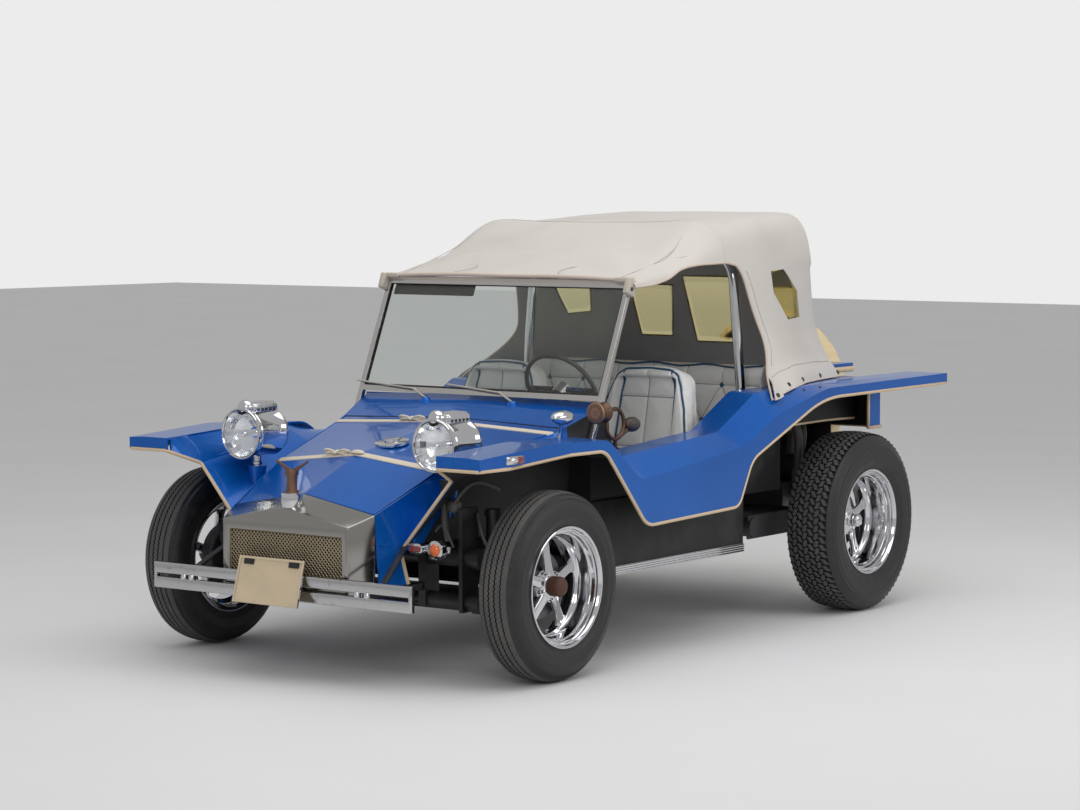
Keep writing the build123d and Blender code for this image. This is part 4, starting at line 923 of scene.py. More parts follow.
    def knot(self, at: Point) -> Piece:
        """Leather knot: a wrap, two flat loops and two tails.

        Args:
            at: Middle of the knot.

        Returns:
            The knot.
        """
        x, y, z = at
        parts = [tube("wrap", [(x - 0.004, y - 0.012, z), (x, y - 0.004, z + 0.012), (x + 0.004, y + 0.01, z + 0.004)],
                      0.0068)]
        for reach, rise, side in self.knot_loops:
            end = x + reach * side
            loop = [(x, y - 0.004, z + 0.004), (x + reach * 0.5 * side, y - 0.012, z + rise + 0.006),
                    (end, y - 0.008, z + rise), (end - 0.01 * side, y + 0.006, z + rise * 0.5),
                    (x, y + 0.003, z + 0.003)]
            parts.append(tube("loop", loop, 0.0042, 2))
        return joined("strap_knot", parts)

    def straps(self) -> None:
        """Leather straps with their tied knots."""
        self.refine("hood_straps", "cream_leather", bevel=0.001)
        hood = tree_of(bpy.data.objects["hood_skin"])
        made = []
        for x, y in self.knots:
            hit = hood.ray_cast(Vector((x, y, 1.4)), Vector((0, 0, -1)))[0]
            made.append(self.knot((x, y, hit.z + 0.006)))
        self.add(joined("strap_knots", made), "cream_leather")

    def plate(self) -> None:
        """Blank plate: tan field in a bright frame with dark upper clips."""
        plate = self.refine("number_plate", "plate_tan", "chrome", bevel=0.0008)
        middle = Vector(self.plate_middle)
        up = Vector(self.plate_up).normalized()
        half, height = self.plate_field

        def framed(face: bpy.types.MeshPolygon) -> bool:
            """Tell whether a face lies outside the field."""
            away = face.center - middle
            return abs(away.x) > half or abs(away.dot(up)) > height

        self.split(plate, framed)
        at = middle + up * self.clip_rise
        wide, tall = self.clip_half
        tilt = math.degrees(math.atan2(self.plate_up[1], self.plate_up[2]))
        clips = [block("clip", (x - wide, at.y - 0.0075, at.z - tall), (x + wide, at.y - 0.0015, at.z + tall),
                       turn=("X", -tilt)) for x in self.clips]
        self.add(joined("plate_clips", clips), "black_paint")

    def build(self) -> None:
        """Dress every panel of the shell."""
        self.tub()
        self.refine("hood", "candy_blue", bevel=0.004, angle=6.0, segments=3)
        self.trim()
        self.straps()
        self.refine("filler_cap", "chrome", bevel=0.0015)
        self.refine("floor_pan", "side_black", bevel=0.002)
        self.refine("sill_strips", "chrome", bevel=0.0008)
        self.refine("mirror", "chrome", angle=40.0)
        self.refine("wipers", "cream_metal")
        self.plate()
        self.refine("bumper", "aged_chrome", bevel=0.004, segments=3)
        self.refine("bumper_brackets", "black_paint", bevel=0.001)
        heads = [lathe("bolt", self.bolt_head, (x, self.bumper_face, z), (0, -1, 0), 20, 40.0) for x, z in self.bolts]
        self.add(joined("bumper_bolts", heads), "chrome")
        self.lamps()
        self.bulb_horn()

    def lamps(self) -> None:
        """Bright lamp bodies with amber and red lenses."""
        self.refine("signal_lamps", "chrome", bevel=0.002, angle=40.0)
        face = self.lamp_face
        lens = lathe("round_lens", self.round_lens, (0.512, face - 0.029, 0.457), (0, -1, 0), 32, 60.0)
        pill = block("pill_lens", (0.404, face - 0.0335, 0.4455), (0.448, face - 0.024, 0.4665), 0.0085, 4)
        self.add(lens, "amber_lens")
        x, y, z = self.tail_at
        tails = [lathe("tail_lens", self.tail_lens, (side * x, y, z), (0, 1, 0), 32, 60.0) for side in (1, -1)]
        self.add(joined("red_lenses", [pill, *tails]), "red_lens")
        marker = block("marker", (0.774, -1.3815, 0.7525), (0.7865, -1.2895, 0.7815), 0.006, 3)
        lens = block("marker_lens", (0.778, -1.3335, 0.7555), (0.7925, -1.2925, 0.7785), 0.007, 3)
        self.add(both(marker), "chrome")
        self.add(both(lens), "red_lens")

    def bulb_horn(self) -> None:
        """Slotted brass horn with a dark bulb; the slots are dark marks that paint the shade in the disc's openings."""
        self.split(self.refine("horn", "brass", "dark_snap", angle=40.0), lambda face: face.center.y > self.bulb_y)
        x, y, z = self.horn_face
        self.add(joined("horn_disc", [lathe("disc", self.horn_disc, self.horn_face, (0, -1, 0), 44, 40.0)]),
                 "horn_copper")
        # The slots are dark strips on the disc: painted shade in its openings.
        slot = block("slot", (x - 0.0014, y - 0.0042, z + 0.0205), (x + 0.0014, y - 0.003, z + 0.0335), 0.0)
        marks = [ring_of(slot, self.horn_slots, self.horn_face, "Y")]
        for out, count in ((0.0, 1), (0.0085, 5)):
            for k in range(count):
                turn = math.tau * k / count
                at = (x + out * math.sin(turn), y, z + out * math.cos(turn))
                marks.append(lathe("dot", self.horn_dot, at, (0, -1, 0), 10, 30.0))
        self.add(joined("horn_slots", marks), "dark_snap")


@dataclass
class Nose(CarPiece):
    """Radiator shell, mesh, cap and headlamps."""

    grille_half: float = 0.253
    grille_low: float = 0.322
    grille_high: float = 0.5
    grille_y: float = -1.5795
    pitch: float = 0.0155
    lean: float = 0.172
    wire: float = 0.0017
    shortest: float = 0.03
    cap_split: float = 0.6335
    lamp: Spot = (0.433, -1.3275, 0.795)
    drum: Pairs = ((0.0815, 0.01), (0.082, 0.003), (0.085, 0.0), (0.0895, 0.0), (0.092, 0.003), (0.0922, 0.01),
        (0.09, 0.0135), (0.0872, 0.0145), (0.0872, 0.022), (0.088, 0.024), (0.088, 0.027), (0.0872, 0.029),
        (0.0872, 0.146), (0.088, 0.148), (0.088, 0.152), (0.0868, 0.155), (0.0835, 0.166), (0.076, 0.175),
        (0.06, 0.1805), (0.0, 0.1815))
    bowl: Pairs = ((0.0815, 0.01), (0.078, 0.016), (0.07, 0.03), (0.056, 0.045), (0.038, 0.056), (0.018, 0.062),
        (0.0, 0.063))
    bulb: Pairs = ((0.0, 0.018), (0.006, 0.02), (0.011, 0.027), (0.012, 0.034), (0.0105, 0.042), (0.0105, 0.062))
    peak: Pairs = ((0.0, -0.002), (0.014, 0.0), (0.024, 0.006), (0.03, 0.016), (0.031, 0.028), (0.028, 0.04),
        (0.018, 0.048), (0.0, 0.05))
    stem: Pairs = ((0.0145, 0.0), (0.0145, 0.02), (0.0185, 0.022), (0.0185, 0.03), (0.0145, 0.032), (0.0145, 0.052))
    stem_foot: float = 0.66
    ribs: int = 6
    holes: int = 5

    def lattice(self) -> Piece:
        """Fine diamond mesh of flat wires, each clipped to the opening, in a border."""
        low, high, half = self.grille_low, self.grille_high, self.grille_half
        height = high - low
        points, faces = [], []
        count = int((2 * half + self.lean) / self.pitch) + 1
        deep = Vector((0, self.wire * 0.8, 0))
        for side, depth in ((1, 0.0), (-1, 0.0016)):
            for k in range(count):
                foot = -half - self.lean + self.pitch * (k + 0.5)
                start = max(0.0, (-half - foot) / self.lean)
                end = min(1.0, (half - foot) / self.lean)
                if end - start < self.shortest:
                    continue
                a, b = (Vector((side * (foot + self.lean * t), self.grille_y + depth, low + height * t))
                        for t in (start, end))
                across = Vector((0, 1, 0)).cross(b - a).normalized() * self.wire
                first = len(points)
                for p in (a, b):
                    points += [p - across, p - deep, p + across, p + deep]
                faces += [tuple(first + n for n in (j, (j + 1) % 4, 4 + (j + 1) % 4, 4 + j)) for j in range(4)]
        wires = face_out(meshed("grille_wires", points, [], faces))
        corners = [(-half, low), (half, low), (half, high), (-half, high)]
        border = tube("grille_border", [(x, self.grille_y, z) for x, z in corners], 0.004, 1, True, 2)
        return joined("grille_wires", [wires, border])

    def headlamp(self) -> tuple[Piece, Piece, Piece]:
        """Model one headlamp.

        Returns:
            The drum with its louvred box, peak and stem; the bowl with its bulb; and dark marks that paint the shade in
            the box's holes.
        """
        x, y, z = self.lamp
        back = (0, 1, 0)
        top = z + 0.115
        parts = [lathe("lamp_drum", self.drum, self.lamp, back, 72, 28.0),
                 block("lamp_box", (x - 0.041, y + 0.03, z + 0.062), (x + 0.041, y + 0.16, top - 0.008), 0.011, 3),
                 lathe("peak", self.peak, (x - 0.003, y + 0.002, z + 0.09), back, 36, 60.0),
                 lathe("stem", self.stem, (x, y + 0.09, self.stem_foot), (0, 0, 1), 32, 30.0)]
        for k in range(self.ribs):
            at = y + 0.048 + 0.019 * k
            parts.append(tube("rib", [(x + dx, at, top - dz) for dx, dz in
                                      ((-0.031, 0.0095), (0.0, 0.0085), (0.031, 0.0095))], 0.0055))
        bowl = [lathe("lamp_bowl", self.bowl, self.lamp, back, 20, 2.0),
                lathe("lamp_bulb", self.bulb, self.lamp, back, 24, 50.0)]
        # The holes are dark slabs on the box's sides: painted shade, not openings.
        holes = []
        for k in range(self.holes):
            at = y + 0.048 + 0.021 * k
            for side in (x + 0.0415, x - 0.0415):
                holes.append(block("hole", (side - 0.0012, at, z + 0.079), (side + 0.0003, at + 0.011, z + 0.089), 0.0))
        return joined("headlamp_body", parts), joined("headlamp_bowl", bowl), joined("headlamp_holes", holes)

    def build(self) -> None:
        """Dress the front."""
        self.refine("radiator_shell", "satin_metal", bevel=0.004, segments=3)
        self.add(self.lattice(), "gold_mesh", replaces=("grille_mesh",))
        core = block("radiator_core", (-0.262, -1.566, 0.314), (0.262, -1.552, 0.508), 0.002, 1)
        self.add(core, "radiator_black")
        cap = self.refine("radiator_cap", "chrome", "copper", bevel=0.0015, angle=40.0)
        self.split(cap, lambda face: face.center.z > self.cap_split)
        body, bowl, holes = [both(piece) for piece in self.headlamp()]
        self.add(body, "chrome", replaces=("headlamp_shells",))
        self.add(bowl, "lamp_silver")
        # Painted shade in the box's holes.
        self.add(holes, "dark_snap")
        self.refine("headlamp_lenses", "lamp_glass", angle=60.0)


@dataclass
class Screen(CarPiece):
    """Windscreen, roll hoop and steering."""

    rake: float = 23.5
    glass_foot: Pair = (FRONT_AXLE_Y + 0.542, 0.77)
    glass_half: float = 0.5375
    glass_edges: Pair = (0.9245, 1.3005)
    gasket_out: float = 0.0055
    wheel_centre: Spot = (0.25, -0.3235, 0.922)
    wheel_tilt: float = 30.0
    spoke_reach: float = 0.137
    spoke_holes: tuple[float, ...] = (0.052, 0.074, 0.096, 0.116)
    hole: Pairs = ((0.0, 0.0024), (0.0058, 0.0024), (0.0058, 0.001))
    button: Pairs = ((0.0, 0.02), (0.01, 0.0195), (0.017, 0.0175), (0.02, 0.014), (0.022, 0.006))
    wiper_x: Pair = (-0.23, 0.171)
    wiper_foot: Pair = (FRONT_AXLE_Y + 0.582, 0.868)
    boss: Pairs = ((0.01, 0.024), (0.013, 0.022), (0.019, 0.01), (0.026, 0.0), (0.034, -0.01))

    def on_glass(self, x: float, z: float, ahead: float) -> Spot:
        """Point ahead of the glass's middle plane."""
        y, foot = self.glass_foot
        return (x, y + (z - foot) * math.tan(math.radians(self.rake)) - ahead, z)

    def gasket(self) -> None:
        """Black rubber between the pane and its frame, on both faces."""
        half, (low, high) = self.glass_half, self.glass_edges
        corners = [(-half, low), (half, low), (half, high), (-half, high)]
        made = [tube("gasket", [self.on_glass(x, z, ahead) for x, z in corners], 0.0042, 1, True, 2)
                for ahead in (self.gasket_out, -self.gasket_out)]
        self.add(joined("screen_gasket", made), "black_paint")

    def steering(self) -> None:
        """Dark thin rim and bright drilled spokes, whose holes are black discs painted as shade."""
        body = "steering_wheel_body"
        wheel = self.refine("steering_wheel", "dark_plastic", "screen_metal", body=body, angle=40.0)
        centre = Vector(self.wheel_centre)
        self.split(wheel, lambda face: (face.center - centre).length < self.spoke_reach)
        lean = math.radians(self.wheel_tilt)
        out = Vector((0.0, math.cos(lean), math.sin(lean)))
        down = Vector((0.0, math.sin(lean), -math.cos(lean)))
        # Each drilled hole is a black disc on both faces of the spoke: painted shade, not an opening.
        holes = [lathe("hole", self.hole, centre + way * away, out * face, 16, 30.0)
                 for way in (Vector((1, 0, 0)), Vector((-1, 0, 0)), down)
                 for away in self.spoke_holes for face in (1, -1)]
        self.add(joined("spoke_holes", holes), "black_paint", body=body)
        self.add(lathe("horn_button", self.button, centre, out, 32, 40.0), "black_paint", body=body)

    def build(self) -> None:
        """Dress the screen and what stands behind it."""
        self.refine("windscreen_frame", "screen_metal", bevel=0.003, segments=3)
        self.refine("windscreen_glass", "glass")
        self.gasket()
        self.refine("sun_visor", "dark_plastic", bevel=0.006, segments=3)
        self.refine("roll_hoop", "chrome", angle=40.0)
        self.refine("steering_column", "black_paint", angle=40.0)
        self.steering()
        self.refine("floor_controls", "black_paint", bevel=0.001)
        bosses = [lathe("boss", self.boss, (x, *self.wiper_foot), (0, -0.25, 1), 32, 50.0) for x in self.wiper_x]
        self.add(joined("wiper_bosses", bosses), "candy_blue")


@dataclass(frozen=True)
class CanvasRow:
    """Half section of the canvas: distance along the car, middle height and (x, z) of its corners."""

    y: float
    middle: float
    shoulder: Pair
    haunch: Pair
    side: Pair
    waist: Pair
    foot: Pair

    def points(self) -> list[Pair]:
        """Corners from the middle of the roof to the foot."""
        half = self.shoulder[0] / 2
        crown = (half, self.middle - (self.middle - self.shoulder[1]) * 0.3)
        return [(0.0, self.middle), crown, self.shoulder, self.haunch, self.side, self.waist, self.foot]


@dataclass
class CanvasTop(CarPiece):
    """Canvas roof and quarters as one sheet, with welts, snaps, clear panes and a lining."""

    rows: tuple[CanvasRow, ...] = (
        CanvasRow(-0.3455, 1.334, (0.48, 1.332), (0.568, 1.326), (0.586, 1.29), (0.588, 1.11), (0.59, 0.86)),
        CanvasRow(-0.0555, 1.432, (0.45, 1.415), (0.542, 1.375), (0.593, 1.33), (0.598, 1.11), (0.605, 0.86)),
        CanvasRow(0.2385, 1.532, (0.455, 1.54), (0.553, 1.5), (0.6, 1.408), (0.61, 1.13), (0.68, 0.86)),
        CanvasRow(0.32, 1.528, (0.432, 1.525), (0.512, 1.476), (0.553, 1.36), (0.597, 1.12), (0.742, 0.86)),
        CanvasRow(0.4945, 1.545, (0.425, 1.536), (0.5, 1.483), (0.532, 1.35), (0.583, 1.1), (0.733, 0.86)),
        CanvasRow(0.7445, 1.56, (0.412, 1.552), (0.484, 1.5), (0.512, 1.35), (0.548, 1.11), (0.665, 0.86)),
        CanvasRow(1.0105, 1.569, (0.4, 1.564), (0.46, 1.528), (0.488, 1.44), (0.503, 1.11), (0.6, 0.86)),
        CanvasRow(1.1745, 1.563, (0.394, 1.559), (0.436, 1.51), (0.452, 1.4), (0.462, 1.11), (0.567, 0.86)))
    header_y: float = -0.34
    opening: Pairs = ((0.4215, 1.366), (0.44, 1.35), (0.4585, 1.321), (0.479, 1.266), (0.4985, 1.204), (0.518, 1.15),
        (0.5345, 1.097), (0.515, 1.04), (0.46, 0.99), (0.39, 0.94), (0.345, 0.9), (0.334, 0.865))
    valance: Pairs = ((-0.3455, 1.306), (-0.2275, 1.312), (-0.1275, 1.332), (-0.0595, 1.357), (0.0085, 1.373),
        (0.0785, 1.38), (0.2185, 1.383), (0.3, 1.382), (0.3665, 1.376), (0.4215, 1.366))
    corner: Pairs = ((1.0105, 1.572), (1.1595, 0.905))
    hem: Spots = ((0.334, 0.75, 0.867), (0.4254, 0.743, 0.888), (0.5126, 0.732, 0.902), (0.7125, 0.667, 0.911),
        (0.9379, 0.61, 0.911), (1.17, 0.562, 0.91))
    snaps: Pairs = ((0.356, 0.886), (0.505, 0.917), (0.694, 0.925), (0.927, 0.926), (1.145, 0.926))
    deck_studs: Spots = ((0.734, 0.479, 0.8865), (0.7353, 0.5897, 0.8922), (0.742, 0.6976, 0.8965))
    valance_seam: Pairs = ((-0.335, 1.349), (-0.2215, 1.37), (-0.0565, 1.396), (0.1125, 1.42), (0.235, 1.434))
    side_pane: Pairs = ((0.7005, 1.34), (0.8075, 1.346), (0.9225, 1.256), (0.9365, 1.154), (0.8085, 1.148),
        (0.7075, 1.257))
    rear_panes: tuple[tuple[float, float, float, float, float], ...] = (
        (-0.4, -0.19, 1.055, 1.262, 0.03), (-0.132, 0.132, 1.035, 1.3, 0.036),
        (0.19, 0.4, 1.055, 1.262, 0.03))
    roof_seam: Pairs = ((0.5, -0.338), (0.505, -0.245), (0.52, -0.112), (0.51, 0.024), (0.492, 0.093), (0.462, 0.19),
        (0.448, 0.24))
    bow_seam: tuple[float, ...] = (0.448, 0.4, 0.34, 0.26, 0.18, 0.1, 0.0)
    bow_y: float = 0.2385
    header_half: float = 0.556
    snap: Pairs = ((0.0, 0.0052), (0.0035, 0.005), (0.0052, 0.004), (0.0062, 0.004), (0.0085, 0.0028), (0.0092, 0.0),
        (0.0092, -0.002))
    stud: Pairs = ((0.0, 0.0045), (0.003, 0.004), (0.0055, 0.001), (0.006, -0.003))
    screw: Pairs = ((0.0, 0.0045), (0.0045, 0.004), (0.007, 0.002), (0.0078, 0.0), (0.0078, -0.003))
    thickness: float = 0.004
    proud: float = 0.0006
    fold_depth: float = 0.0042
    folds: float = 9.0
    fold_from: float = 0.52
    fold_corner: float = 0.56
    fold_start: float = 0.12
    fold_peak: float = 0.3
    fold_spread: float = 0.24
    sag_depth: float = 0.0035
    sag_run: float = 0.58
    sag_turn: float = 2.4
    sag_foot: float = 1.28
    sag_half: float = 0.47
    tug_depth: float = 0.0022
    tug_turn: Pair = (26.0, 5.0)
    tug_middle: float = 1.02
    tug_spread: float = 0.14
    tug_start: Pair = (0.5, 0.45)
    flap_depth: float = 0.004
    flap_turn: float = 21.0
    flap_top: float = 1.3
    flap_fade: float = 0.09
    flap_end: float = 0.4
    flap_inner: float = 0.55
    pane_steps: int = 6
    pane_rings: int = 5
    pane_lap: float = 0.007
    pane_depth: float = 0.0052
    roof_rows: int = 36
    quarter_rows: int = 30
    upper: int = 26
    lower: int = 22
    crown: int = 16
    split_z: float = 1.366
    pull: float = 0.42

    @staticmethod
    def along(table: Points, value: float, key: int = 0, column: int = 1) -> float:
        """Value of a table between its rows, held at its ends.

        Args:
            table: Rows whose key column rises or falls all the way.
            value: Where to read.
            key: Number of the key column.
            column: Number of the column to read.

        Returns:
            The value there.
        """
        rows = sorted(table, key=lambda row: row[key])
        if value <= rows[0][key]:
            return rows[0][column]
        for low, high in zip(rows, rows[1:]):
            if value <= high[key]:
                share = (value - low[key]) / (high[key] - low[key])
                return low[column] + (high[column] - low[column]) * share
        return rows[-1][column]

    @staticmethod
    def spline(points: Points, t: float) -> tuple[float, ...]:
        """Smooth line through points, read at a count of runs.

        Args:
            points: The points.
            t: 0 at the first point, 1 at the second and so on.

        Returns:
            The point there.
        """
        k = min(int(t), len(points) - 2)
        f = t - k
        before = points[max(k - 1, 0)]
        a, b = points[k], points[k + 1]
        after = points[min(k + 2, len(points) - 1)]
        made = []
        for p, q, r, s in zip(before, a, b, after):
            m0, m1 = CanvasTop.pull * (r - p), CanvasTop.pull * (s - q)
            made.append((2 * f ** 3 - 3 * f ** 2 + 1) * q + (f ** 3 - 2 * f ** 2 + f) * m0
                        + (3 * f ** 2 - 2 * f ** 3) * r + (f ** 3 - f ** 2) * m1)
        return tuple(made)

    def surface(self, y: float, t: float) -> Pair:
        """Point (x, z) of the canvas at a distance along the car and a place on its section."""
        ys = [row.y for row in self.rows]
        k = 0
        while k < len(ys) - 2 and y > ys[k + 1]:
            k += 1
        share = max(0.0, min(1.0, (y - ys[k]) / (ys[k + 1] - ys[k])))
        low = self.spline(self.rows[k].points(), t)
        high = self.spline(self.rows[k + 1].points(), t)
        eased = share * 0.6 + 0.4 * share * share * (3 - 2 * share)
        return tuple(a + (b - a) * eased for a, b in zip(low, high))

    def place_at(self, y: float, height: float) -> float:
        """Place on the section where the canvas comes down to a height."""
        low, high = 1.0, 6.0
        for _ in range(26):
            middle = (low + high) / 2
            if self.surface(y, middle)[1] > height:
                low = middle
            else:
                high = middle
        return low

    def fan(self, share: float, height: float) -> float:
        """Y between the door opening and the rear corner at a height."""
        front = self.along(self.opening, height, 1, 0)
        rear = self.along(self.corner, height, 1, 0)
        return front + (rear - front) * share

    def roof_rows_of(self) -> list[list[Spot]]:
        """Rows of the roof's left half, from the header to the rear of the door opening."""
        rows = []
        start, end = self.header_y, self.opening[0][0]
        for i in range(self.roof_rows + 1):
            y = start + (end - start) * i / self.roof_rows
            last = self.place_at(y, self.along(self.valance, y))
            spots = [self.surface(y, last * j / self.upper) for j in range(self.upper + 1)]
            rows.append([(x, y, z) for x, z in spots])
        return rows

    def quarter_row(self, share: float) -> list[Spot]:
        """Row of the quarter from the roof's middle to the hem.

        Args:
            share: 0 at the door opening and 1 at the rear corner.

        Returns:
            Its points.
        """
        row = []
        for j in range(self.upper + self.lower + 1):
            y = self.fan(share, 1.57)
            if j <= self.upper:
                x, z = self.surface(y, self.place_at(y, self.split_z) * j / self.upper)
                if j > self.upper * 0.6:
                    y = self.fan(share, z)
            else:
                foot_y = self.fan(share, 0.88)
                low_z = self.along(self.hem, foot_y, 0, 2)
                z = self.split_z + (low_z - self.split_z) * (j - self.upper) / self.lower
                y = self.fan(share, z)
                x = self.surface(y, self.place_at(y, z))[0]
                near = max(0.0, 1 - (z - low_z) / 0.1)
                x += (self.along(self.hem, foot_y, 0, 1) - x) * near * near
            row.append((x, y, z))
        return row

    def half_sheet(self) -> tuple[Piece, tuple[Points, Points, Points]]:
        """Left half of the roof, its quarter and the rear wall.

        Returns:
            The half, and its valance, door and hem edges.
        """
        front = self.roof_rows_of()
        quarter = [self.quarter_row(i / self.quarter_rows) for i in range(self.quarter_rows + 1)]
        corner, crown = quarter[-1], self.crown
        wall = [corner[:crown + 1]]
        wall += [[(x * k / crown, y, z) for k in range(crown + 1)] for x, y, z in corner[crown + 1:]]
        parts = [sheet_of_rows(name, rows) for name, rows in
                 (("roof_half", front), ("quarter_half", quarter), ("wall_half", wall))]
        edges = ([row[-1] for row in front], quarter[0][self.upper:], [row[-1] for row in quarter])
        return joined("canvas_half", parts), edges

    def crease(self, piece: Piece) -> None:
        """Press soft folds into the sheet that run back from the header's corners."""
        for vertex in piece.data.vertices:
            x, y, z = vertex.co
            out, back = abs(x), y - self.header_y
            away = math.hypot(out - self.fold_from, back)
            angle = math.atan2(back, self.fold_corner - out)
            fade = math.exp(-((away - self.fold_peak) / self.fold_spread) ** 2) * min(1.0, away / self.fold_start)
            push = math.sin(angle * self.folds + 1.0) * self.fold_depth * fade
            start_y, start_x = self.tug_start
            if y > start_y and out > start_x:
                low = math.exp(-((z - self.tug_middle) / self.tug_spread) ** 2)
                push += self.tug_depth * math.sin((y - start_y) * self.tug_turn[0] + z * self.tug_turn[1]) * low
            vertex.co += vertex.normal * push
            if z > self.sag_foot and out < self.sag_half:
                run = min(1.0, max(0.0, back / self.sag_run))
                vertex.co.z -= self.sag_depth * math.sin(math.pi * run) * math.cos(x * self.sag_turn)
            if y < self.flap_end and out > self.flap_inner:
                fade = max(0.0, 1 - (z - self.flap_top) / self.flap_fade)
                wave = self.flap_depth * math.sin((y + 0.3) * self.flap_turn) * fade
                vertex.co.x += math.copysign(wave, x)

    def outlines(self) -> list[tuple[list[Vector], Vector]]:
        """Corners of the five windows, each with the direction in which it is cut."""
        made = [([Vector((side * 0.9, y, z)) for y, z in self.side_pane], Vector((-side, 0, 0))) for side in (1, -1)]
        for x0, x1, z0, z1, taper in self.rear_panes:
            corners = ((x0 + taper, z0), (x1 - taper, z0), (x1, z1), (x0, z1))
            made.append(([Vector((x, 1.6, z)) for x, z in corners], Vector((0, -1, 0))))
        return made

    @staticmethod
    def cutter(number: int, corners: list[Vector], aim: Vector) -> Piece:
        """Prism that cuts a window out of the sheet."""
        n = len(corners)
        faces = [tuple(range(n)), tuple(range(2 * n - 1, n - 1, -1))]
        faces += [(k, k + n, (k + 1) % n + n, (k + 1) % n) for k in range(n)]
        return face_out(meshed(f"window_cut_{number}", corners + [p + aim * 0.75 for p in corners], [], faces))

    def pane(self, number: int, corners: list[Vector], aim: Vector, tree: BVHTree) -> Piece:
        """Lay one clear pane just inside the canvas.

        Args:
            number: Number of the window.
            corners: Its corners, outside the sheet.
            aim: Direction towards the sheet.
            tree: Search tree of the sheet.

        Returns:
            The pane, a little larger than its window.
        """
        centre = sum(corners, Vector()) / len(corners)
        edge = [a.lerp(b, f / self.pane_steps) for a, b in zip(corners, corners[1:] + corners[:1])
                for f in range(self.pane_steps)]
        rows = []
        for ring in range(self.pane_rings + 1):
            share = (ring + 0.02) / (self.pane_rings + 0.02)
            spots = [centre.lerp(p + (p - centre).normalized() * self.pane_lap, share) for p in edge]
            rows.append([(tree.ray_cast(spot, aim)[0] or spot) + aim * self.pane_depth for spot in spots])
        pane = sheet_of_rows(f"window_pane_{number}", rows, loop=True, middle=True)
        return tidy_faces(pane, 1e-6, 60.0)

    def build(self) -> None:
        """Sew the whole top."""
        left, edges = self.half_sheet()
        sheet = both(left)
        sheet.name = "canvas_sheet"
        tidy_faces(sheet, 2e-4, 180.0)
        if max(sheet.data.polygons, key=lambda face: face.center.z).normal.z < 0:
            sheet.data.flip_normals()
        modify(sheet, "BEVEL", width=0.018, segments=4, limit_method="ANGLE", angle_limit=math.radians(42))
        self.crease(sheet)
        tree = tree_of(sheet)
        cutters = [self.cutter(k, *outline) for k, outline in enumerate(self.outlines())]
        panes = [self.pane(k, *outline, tree) for k, outline in enumerate(self.outlines())]
        modify(sheet, "SOLIDIFY", thickness=self.thickness, offset=-1.0, use_rim=True, material_offset=1,
               material_offset_rim=0)
        for cutter in cutters:
            modify(sheet, "BOOLEAN", operation="DIFFERENCE", object=cutter, solver="EXACT")
            bpy.data.objects.remove(cutter)
        smooth(sheet, 50.0)
        window = joined("canvas_windows", panes)
        modify(window, "SOLIDIFY", thickness=0.0012, offset=0.0)
        self.add(sheet, "canvas", "canvas_inside", replaces=("soft_top",))
        self.add(window, "vinyl", replaces=("soft_top_windows",))
        self.tree = tree_of(sheet)
        deck = [lathe("stud", self.stud, place, (0.4, 0, 1), 12) for place in self.deck_studs]
        self.add(both(joined("deck_studs", deck)), "dark_snap")
        trims = self.trims(*edges)
        self.header()

    @staticmethod
    def cut_area(sheet: Piece) -> float:
        """Flat area of the cut canvas, which is one side of the sewn sheet."""
        return round(sum(face.area for face in sheet.data.polygons) / 2, 3)

    def trims(self, valance: Points, door: Points, hem: Points) -> list[Piece]:
        """Sew the seams, welts and binding and set the snaps.

        Args:
            valance: Lower edge of the roof's side.
            door: Front edge of the quarter.
            hem: Foot of the quarter.

        Returns:
            The pieces that belong to the sheet.
        """
        border = [*valance, *door[1:]]
        welts = [tube("opening_welt", border[::2] + [border[-1]], 0.0042), tube("hem_welt", hem, 0.0028, 2)]
        lines = [[self.on_canvas(y, z) for y, z in self.valance_seam],
                 [self.on_canvas(y + 0.048, z + 0.004) for x, y, z in door[1:-5]],
                 [self.on_canvas(y, self.along(self.hem, y, 0, 2) + 0.056 + 0.012 * math.sin((y - 0.42) * 4))
                  for y in [0.435 + 0.026 * k for k in range(27)]],
                 [self.from_above(x, y) for x, y in self.roof_seam]]
        seams = [tube("seam", line, 0.0013, 1) for line in lines]
        seams.append(tube("seam", [self.from_above(x, self.bow_y) for x in self.bow_seam], 0.0011, 1))
        studs = [lathe("snap", self.snap, self.on_canvas(y, z), self.outward(y, z), 16, 30.0) for y, z in self.snaps]
        strip = []
        for k in range(11):
            x = k * self.header_half / 10
            strip.append((x, self.header_y - 0.001, self.from_above(min(x, 0.545), -0.33)[2] - 0.002))
        made = []
        for name, pieces, finish in (("canvas_seams", seams, "canvas_seam"), ("canvas_snaps", studs, "dark_snap"),
                                     ("canvas_welts", welts, "canvas_welt"),
                                     ("header_binding", [tube("binding", strip, 0.0075)], "canvas_welt")):
            made.append(self.add(both(joined(name, pieces)), finish))
        return made

    def header(self) -> None:
        """Rail, corner brackets and screws under the front edge."""
        bracket = block("bracket", (0.553, -0.372, 1.276), (0.577, -0.318, 1.336), 0.006, 3, ("X", -20.0))
        lip = block("lip", (0.5, -0.352, 1.322), (0.572, -0.322, 1.341), 0.006, 3)
        rail = block("rail", (-0.56, -0.338, 1.312), (0.56, -0.318, 1.33), 0.004)
        pair = both(joined("bracket_pair", [bracket, lip]))
        self.add(joined("header_brackets", [pair, rail]), "cream_metal")
        screw = lathe("header_screws", self.screw, (0.577, -0.352, 1.3), (1, 0, 0), 16, 30.0)
        self.add(both(screw), "dark_snap")

    def beside(self, y: float, z: float) -> tuple:
        """First hit on the canvas's left side at a distance along the car and a height."""
        return self.tree.ray_cast(Vector((0.95, y, z)), Vector((-1, 0, 0)))

